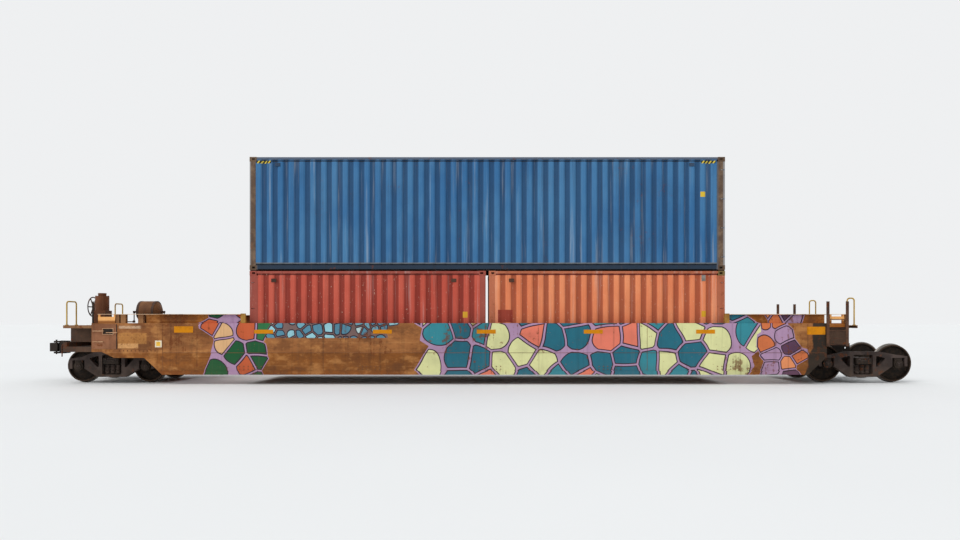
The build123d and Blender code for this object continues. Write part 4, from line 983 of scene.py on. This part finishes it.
shape = bmesh.new()
for middle_x in (tank_middle.x - 0.19, tank_middle.x + 0.19):
    rings = []
    for step in range(BAND_STEPS + 1):
        section = band_section(middle_x, BAND_START + BAND_TURN * step / BAND_STEPS)
        rings.append([shape.verts.new(corner) for corner in section])
    for before, after in zip(rings, rings[1:]):
        for index in range(4):
            following = (index + 1) % 4
            shape.faces.new((before[index], before[following], after[following], after[index]))
    shape.faces.new(rings[0])
    shape.faces.new(reversed(rings[-1]))
    for side in SIDES:
        foot_y = tank_middle.y + side * (tank_radius * 0.6 + 0.05)
        add_foot(shape, middle_x, foot_y, 0.04, 0.045)
        add_round(shape, (middle_x, foot_y + side * 0.015, deck_z + FOOT), UP, 0.016, 0.014)
bmesh.ops.recalc_face_normals(shape, faces=shape.faces)
make_piece("tank_bands", shape, gear_paint, "car")
print("reservoir held")

# %% Pipes and fittings
PIPE = 0.017
valve_middle = (valve_low + valve_high) / 2
pipe_z = deck_z + 0.09
pipe_runs = [
    [
        (tank_low.x + 0.01, tank_middle.y, tank_axis_z),
        (tank_low.x - 0.10, tank_middle.y, tank_axis_z),
        (tank_low.x - 0.10, tank_middle.y, pipe_z),
        (valve_high.x - 0.01, tank_middle.y, pipe_z),
    ],
    [
        (valve_middle.x, valve_high.y - 0.03, pipe_z),
        (valve_middle.x, valve_high.y + 0.14, pipe_z),
        (valve_middle.x, valve_high.y + 0.14, deck_z - 0.005),
    ],
    [
        (tank_high.x - 0.01, tank_middle.y, tank_axis_z),
        (tank_high.x + 0.08, tank_middle.y, tank_axis_z),
        (tank_high.x + 0.08, tank_middle.y, deck_z - 0.005),
    ],
]
make_tube("brake_pipes", pipe_runs, PIPE, gear_paint, "car")
shape = bmesh.new()
for run in pipe_runs:
    for before, corner, after in zip(run, run[1:], run[2:]):
        for neighbour in (before, after):
            along = (Vector(neighbour) - Vector(corner)).normalized()
            start = Vector(corner) - along * PIPE * 1.4
            add_round(shape, start, along, PIPE * 1.5, PIPE * 3.6, sides=12, taper=1.0)
    for place, inward in ((run[0], run[1]), (run[-1], run[-2])):
        along = (Vector(inward) - Vector(place)).normalized()
        add_round(shape, place, along, PIPE * 1.9, PIPE * 1.1, sides=6, taper=1.0)
make_piece("pipe_fittings", shape, gear_paint, "car", bevel=0.002)
print("pipes", len(pipe_runs))

# %% Bolts of the brake valve
valve_radius = (valve_high.x - valve_low.x) / 2
valve_y = valve_high.y - valve_radius
shape = bmesh.new()
for level in (0.37, 0.72):
    middle = (valve_middle.x, valve_y, deck_z + level)
    for place in ring(middle, valve_radius - 0.012, 8):
        add_round(shape, place, UP, 0.012, 0.05)
for side in SIDES:
    for level in (0.06, 0.31):
        for offset in (-0.12, 0.12):
            place = (valve_middle.x + offset, valve_y + side * valve_radius, deck_z + level)
            add_round(shape, place, (0, side, 0), 0.013, 0.012)
make_piece("valve_bolts", shape, gear_paint, "car")
print("brake valve bolted")

# %% Bolts and feet of the hand brake
brake_low, brake_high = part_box("hand_brake")
brake_y = (brake_low.y + brake_high.y) / 2
case_face = brake_high.x
foot_x = case_face - 0.05
shape = bmesh.new()
for side in SIDES:
    for level in (0.12, 0.36):
        place = (case_face, brake_y + side * 0.07, deck_z + level)
        add_round(shape, place, (1, 0, 0), 0.012, 0.012)
    foot_y = brake_y + side * 0.13
    add_foot(shape, foot_x, foot_y, 0.04, 0.03)
    add_round(shape, (foot_x, foot_y, deck_z + FOOT), UP, 0.012, 0.012)
make_piece("hand_brake_bolts", shape, gear_paint, "car", bevel=0.002)
print("hand brake bolted")

# %% [markdown]
# ## Rails and ladders
# Every upright rail stands on a small bolted flange, and the ladders' stiles are held to
# the side by bolts.

# %% Feet and bolts of the rails and ladders
rails_low, rails_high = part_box("end_rails")
stile_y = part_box("ladders")[1].y
rail_feet = [
    (rails_low.x + 0.017, sheet_face - 0.06),
    (rails_low.x + 0.017, sheet_face - 0.48),
    (rails_high.x - 0.017, 1.04),
    (rails_high.x - 0.197, 1.04),
]
shape = bmesh.new()
for x, y in rail_feet:
    for side in SIDES:
        add_round(shape, (x, side * y, deck_z), UP, 0.042, FOOT, sides=20, taper=0.95)
        for place in ring((x, side * y, deck_z + FOOT), 0.031, 3):
            add_round(shape, place, UP, 0.007, 0.008)
make_piece("rail_feet", shape, yellow_paint, "car")

shape = bmesh.new()
for x in (well_x + 8.66, well_x + 9.15):
    for level in (0.985, 1.15, 1.34, 1.48, 1.62, 2.0):
        for side in SIDES:
            place = (x, side * (stile_y - 0.012), rail_z + level)
            add_round(shape, place, (0, side, 0), 0.013, 0.011)
make_piece("ladder_bolts", shape, ladder_paint, "car")
print("rails and ladders bolted")

# %% [markdown]
# ## Coupler
# The knuckle's pin shows its head on top. It rides on the knuckle, which turns about it.

# %% Coupler details
COUPLER_REACH = 11.8
PIN_BACK, PIN_SIDE = 0.15, -0.115
pin_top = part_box("knuckle")[1].z
pin = (well_x - COUPLER_REACH + PIN_BACK, PIN_SIDE, pin_top - 0.002)
shape = bmesh.new()
add_round(shape, pin, UP, 0.030, 0.010, sides=16, taper=0.8)
make_piece("knuckle_pin_head", shape, dark_steel, "knuckle")
print("coupler dressed")

# %% [markdown]
# ## Trucks
# Each truck stands on three pairs of coil springs a side. The CAD springs are plain
# columns, so real coils replace them: a helix of round bar, and a smaller one inside.

# %% Coil springs
TURNS_OUTER = 6.5
TURNS_INNER = 9.0
POINTS_PER_TURN = 14
SPRING_RADIUS = 0.062
SPRING_STEP = 0.136
BAR = 0.013


def coil(centre, radius, low, high, turns):
    """Give the points of one coil between two levels."""
    steps = int(turns * POINTS_PER_TURN)
    points = []
    for step in range(steps + 1):
        share = step / steps
        angle = math.tau * turns * share
        x, y = centre[0] + radius * math.cos(angle), centre[1] + radius * math.sin(angle)
        points.append((x, y, low + (high - low) * share))
    return points


for truck in TRUCKS:
    low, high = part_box(truck + "_springs")
    first_x = (low.x + high.x) / 2
    foot, top = low.z + BAR, high.z - BAR
    centres = [
        (first_x + column * SPRING_STEP, side * (high.y - SPRING_RADIUS))
        for column in (-1, 0, 1)
        for side in SIDES
    ]
    outer = [coil(centre, SPRING_RADIUS - BAR, foot, top, TURNS_OUTER) for centre in centres]
    piece = make_tube(truck + "_outer_coils", outer, BAR, truck_steel, truck)
    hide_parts(truck + "_springs")
    inner = [coil(centre, SPRING_RADIUS * 0.45, foot, top, TURNS_INNER) for centre in centres]
    make_tube(truck + "_inner_coils", inner, BAR * 0.6, truck_steel, truck)
print("coils made")

# %% Bolts on the axle ends and bosses on the bolsters
for truck in TRUCKS:
    frame_low, frame_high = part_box(truck + "_sideframes")
    middle_x = (frame_low.x + frame_high.x) / 2
    bolster_low, bolster_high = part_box(truck + "_bolster")
    rim_low = (middle_x - 0.10, bolster_low.z + 0.145)
    rim_high = (middle_x + 0.10, bolster_high.z - 0.02)
    shape = bmesh.new()
    for side in SIDES:
        face = side * bolster_high.y
        for x in (middle_x - 0.13, middle_x + 0.13):
            place = (x, face, bolster_low.z + 0.19)
            add_round(shape, place, (0, side, 0), 0.024, 0.02, sides=12)
        add_frame(shape, "y", face, side, rim_low, rim_high, 0.018, 0.008)
    make_piece(truck + "_bolster_bosses", shape, truck_steel, truck, bevel=0.003)
    for end in ENDS:
        wheelset = f"{truck}_{end}_wheelset"
        low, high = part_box(f"{truck}_{end}_axle")
        shape = bmesh.new()
        for side in SIDES:
            outward = (0, side, 0)
            cap = ((low.x + high.x) / 2, side * high.y, (low.z + high.z) / 2)
            add_round(shape, cap, outward, 0.03, 0.006, sides=16)
            for place in ring(cap, 0.052, 3, turn=0.4, upright=True):
                add_round(shape, place, outward, 0.016, 0.014)
        make_piece(f"{truck}_{end}_end_bolts", shape, truck_steel, wheelset)
print("truck bolts made")

# %% [markdown]
# ## Door gear
# Each leaf has a black rubber seal round it. The lock rods end in cams, and small bolts
# hold their guides. A steel plate, left blank, sits on one leaf of each pair. All of it
# turns with the leaf.

# %% Door seals, cams and plates
DOORS = [
    # door, end of its box, the way out
    ("upper_door", upper_high.x, 1),
    ("left_door", lower_low.x, -1),
    ("right_door", lower_high.x, 1),
]
ROD_PLACES = (0.25, 0.80)
ROD_GUIDES = (0.06, 0.36, 0.66, 0.94)  # as shares of the leaf's height
DOOR_BACK = 0.075  # from the box's end to the leaf's face
PLATE_BACK = 0.030
for door, end_x, outward in DOORS:
    for hand, side in (("_near", -1), ("_far", 1)):
        leaf = door + hand
        low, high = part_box(leaf)
        face_x = end_x - outward * DOOR_BACK
        left, right = sorted((side * 0.012, side * (box_face - 0.084)))
        shape = bmesh.new()
        add_frame(shape, "x", face_x, outward, (left, low.z), (right, high.z), 0.03, 0.004)
        make_piece(leaf + "_seal", shape, rubber, leaf)
        shape = bmesh.new()
        for rod_y in (side * place for place in ROD_PLACES):
            for level in (low.z + 0.02, high.z - 0.07):
                place = (face_x + outward * 0.023, rod_y, level)
                add_round(shape, place, UP, 0.021, 0.05, sides=12, taper=1.0)
            for share in ROD_GUIDES:
                level = low.z + (high.z - low.z) * share
                for y in (rod_y - 0.028, rod_y + 0.028):
                    place = (face_x + outward * 0.022, y, level)
                    add_round(shape, place, (outward, 0, 0), 0.007, 0.006)
        make_piece(leaf + "_gear", shape, ladder_paint, leaf)
        if hand == "_near":
            shape = bmesh.new()
            back = face_x - outward * PLATE_BACK
            front = back + outward * 0.003
            y, z = side * 0.52, low.z + 0.86
            add_block(shape, (back, y - 0.10, z - 0.07), (front, y + 0.10, z + 0.07))
            for corner_y in (y - 0.09, y + 0.09):
                for corner_z in (z - 0.06, z + 0.06):
                    rivet = (front, corner_y, corner_z)
                    add_round(shape, rivet, (outward, 0, 0), 0.005, 0.003, sides=10, taper=0.6)
            make_piece(leaf + "_plate", shape, plate_steel, leaf, bevel=0.001)
print("seals made")

# %% [markdown]
# ## Small things on the boxes' walls
# A box breathes through small plastic vents near the top of its walls. They bridge two
# ridges of the corrugation, so they are flat covers with three upright ribs.

# %% Vents
VENT_DEPTH = 0.012
wide_vent, tall_vent = (0.13, 0.09), (0.10, 0.15)
vents = [
    # middle, top level, width and height, finish
    (upper_low.x + 0.72, upper_high.z - 0.15, wide_vent, blue_frame),
    (upper_high.x - 0.85, upper_high.z - 0.15, wide_vent, blue_frame),
    (load_x - 0.86, lower_high.z - 0.20, wide_vent, gear_paint),
    (load_x + 0.62, lower_high.z - 0.20, wide_vent, gear_paint),
    (lower_low.x + 0.62, lower_high.z - 0.20, wide_vent, gear_paint),
    (lower_high.x - 0.55, lower_high.z - 0.11, tall_vent, plate_steel),
]
wall_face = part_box("upper_walls")[1].y
vent_face = wall_face - 0.002
vent_front = min(wall_face + VENT_DEPTH, sheet_face)
rib_face = wall_face + VENT_DEPTH - 0.001
for index, (x, top, (width, height), cover) in enumerate(vents):
    foot = top - height
    shape = bmesh.new()
    cover_low, cover_high = (x - width / 2, foot), (x + width / 2, top)
    add_plates(shape, cover_low, cover_high, vent_front - vent_face, face=vent_face)
    for step in (-1, 0, 1):
        rib_x = x + step * width * 0.35
        rib_low, rib_high = (rib_x - 0.006, foot + 0.01), (rib_x + 0.006, top - 0.01)
        add_plates(shape, rib_low, rib_high, 0.004, face=rib_face)
    make_piece(f"wall_vent_{index + 1}", shape, cover, "car", bevel=0.003)
print("vents", len(vents) * 2)

# %% [markdown]
# ## Floor, light and camera
# The floor is plain and pale. The world gives an even sky, as on an overcast day, and one
# very soft sun adds a little shape to the corrugations. A sun lights the whole floor alike,
# where a lamp near the wagon would leave a bright pool. The camera stands square on to the
# side at eye height, with a small upward shift.


# %% Floor
def floor_material():
    finish = Finish("floor_finish", 0.1)
    soft = finish.noise(0.15, 2)
    colour = finish.over(soft, (234, 234, 232), (238, 238, 236))
    return finish.done(colour, 0.9 + soft * 0.05)


shape = bmesh.new()
bmesh.ops.create_grid(shape, x_segments=1, y_segments=1, size=400)
mesh = bpy.data.meshes.new("floor")
shape.to_mesh(mesh)
shape.free()
floor = stand("floor", mesh, floor_material())
print("floor laid")

# %% World and sun
world = bpy.data.worlds.new("sky")
bpy.context.scene.world = world
world.use_nodes = True
tree = world.node_tree
tree.nodes.clear()


def backdrop(colour, strength=1.0):
    made = tree.nodes.new("ShaderNodeBackground")
    made.inputs["Color"].default_value = (*colour, 1)
    made.inputs["Strength"].default_value = strength
    return made.outputs[0]


def either(first, second):
    """Give 1 where one of two kinds of ray is seen."""
    made = tree.nodes.new("ShaderNodeMath")
    made.operation = "MAXIMUM"
    tree.links.new(first, made.inputs[0])
    tree.links.new(second, made.inputs[1])
    return made.outputs[0]


rays = tree.nodes.new("ShaderNodeLightPath").outputs
seen = either(rays["Is Camera Ray"], either(rays["Is Glossy Ray"], rays["Is Transmission Ray"]))
choose = tree.nodes.new("ShaderNodeMixShader")
out = tree.nodes.new("ShaderNodeOutputWorld")
sky, pale = backdrop((0.93, 0.96, 1.0), 0.82), backdrop((0.86, 0.87, 0.88))
for source, socket in zip((seen, sky, pale), choose.inputs):
    tree.links.new(source, socket)
tree.links.new(choose.outputs[0], out.inputs[0])

sun = bpy.data.lights.new("sun", "SUN")
sun.energy = 1.25
sun.angle = math.radians(40)
SUN_AIM = (0.62, 0.60, -0.80)
sun_holder = bpy.data.objects.new("sun", sun)
bpy.context.collection.objects.link(sun_holder)
sun_holder.rotation_euler = Vector(SUN_AIM).to_track_quat("-Z", "Y").to_euler()
print("sky and sun set")

# %% Camera
EYE = (0.17, -19.2, 1.603)
camera = bpy.data.cameras.new("camera")
camera.lens = 26.3
camera.sensor_width = 36
camera.shift_y = 0.0535
camera.clip_end = 2000
eye = bpy.data.objects.new("camera", camera)
bpy.context.collection.objects.link(eye)
eye.location = EYE
eye.rotation_euler = (math.pi / 2, 0, 0)
bpy.context.scene.camera = eye
bpy.context.scene.view_settings.view_transform = "Standard"
print("camera at", EYE)
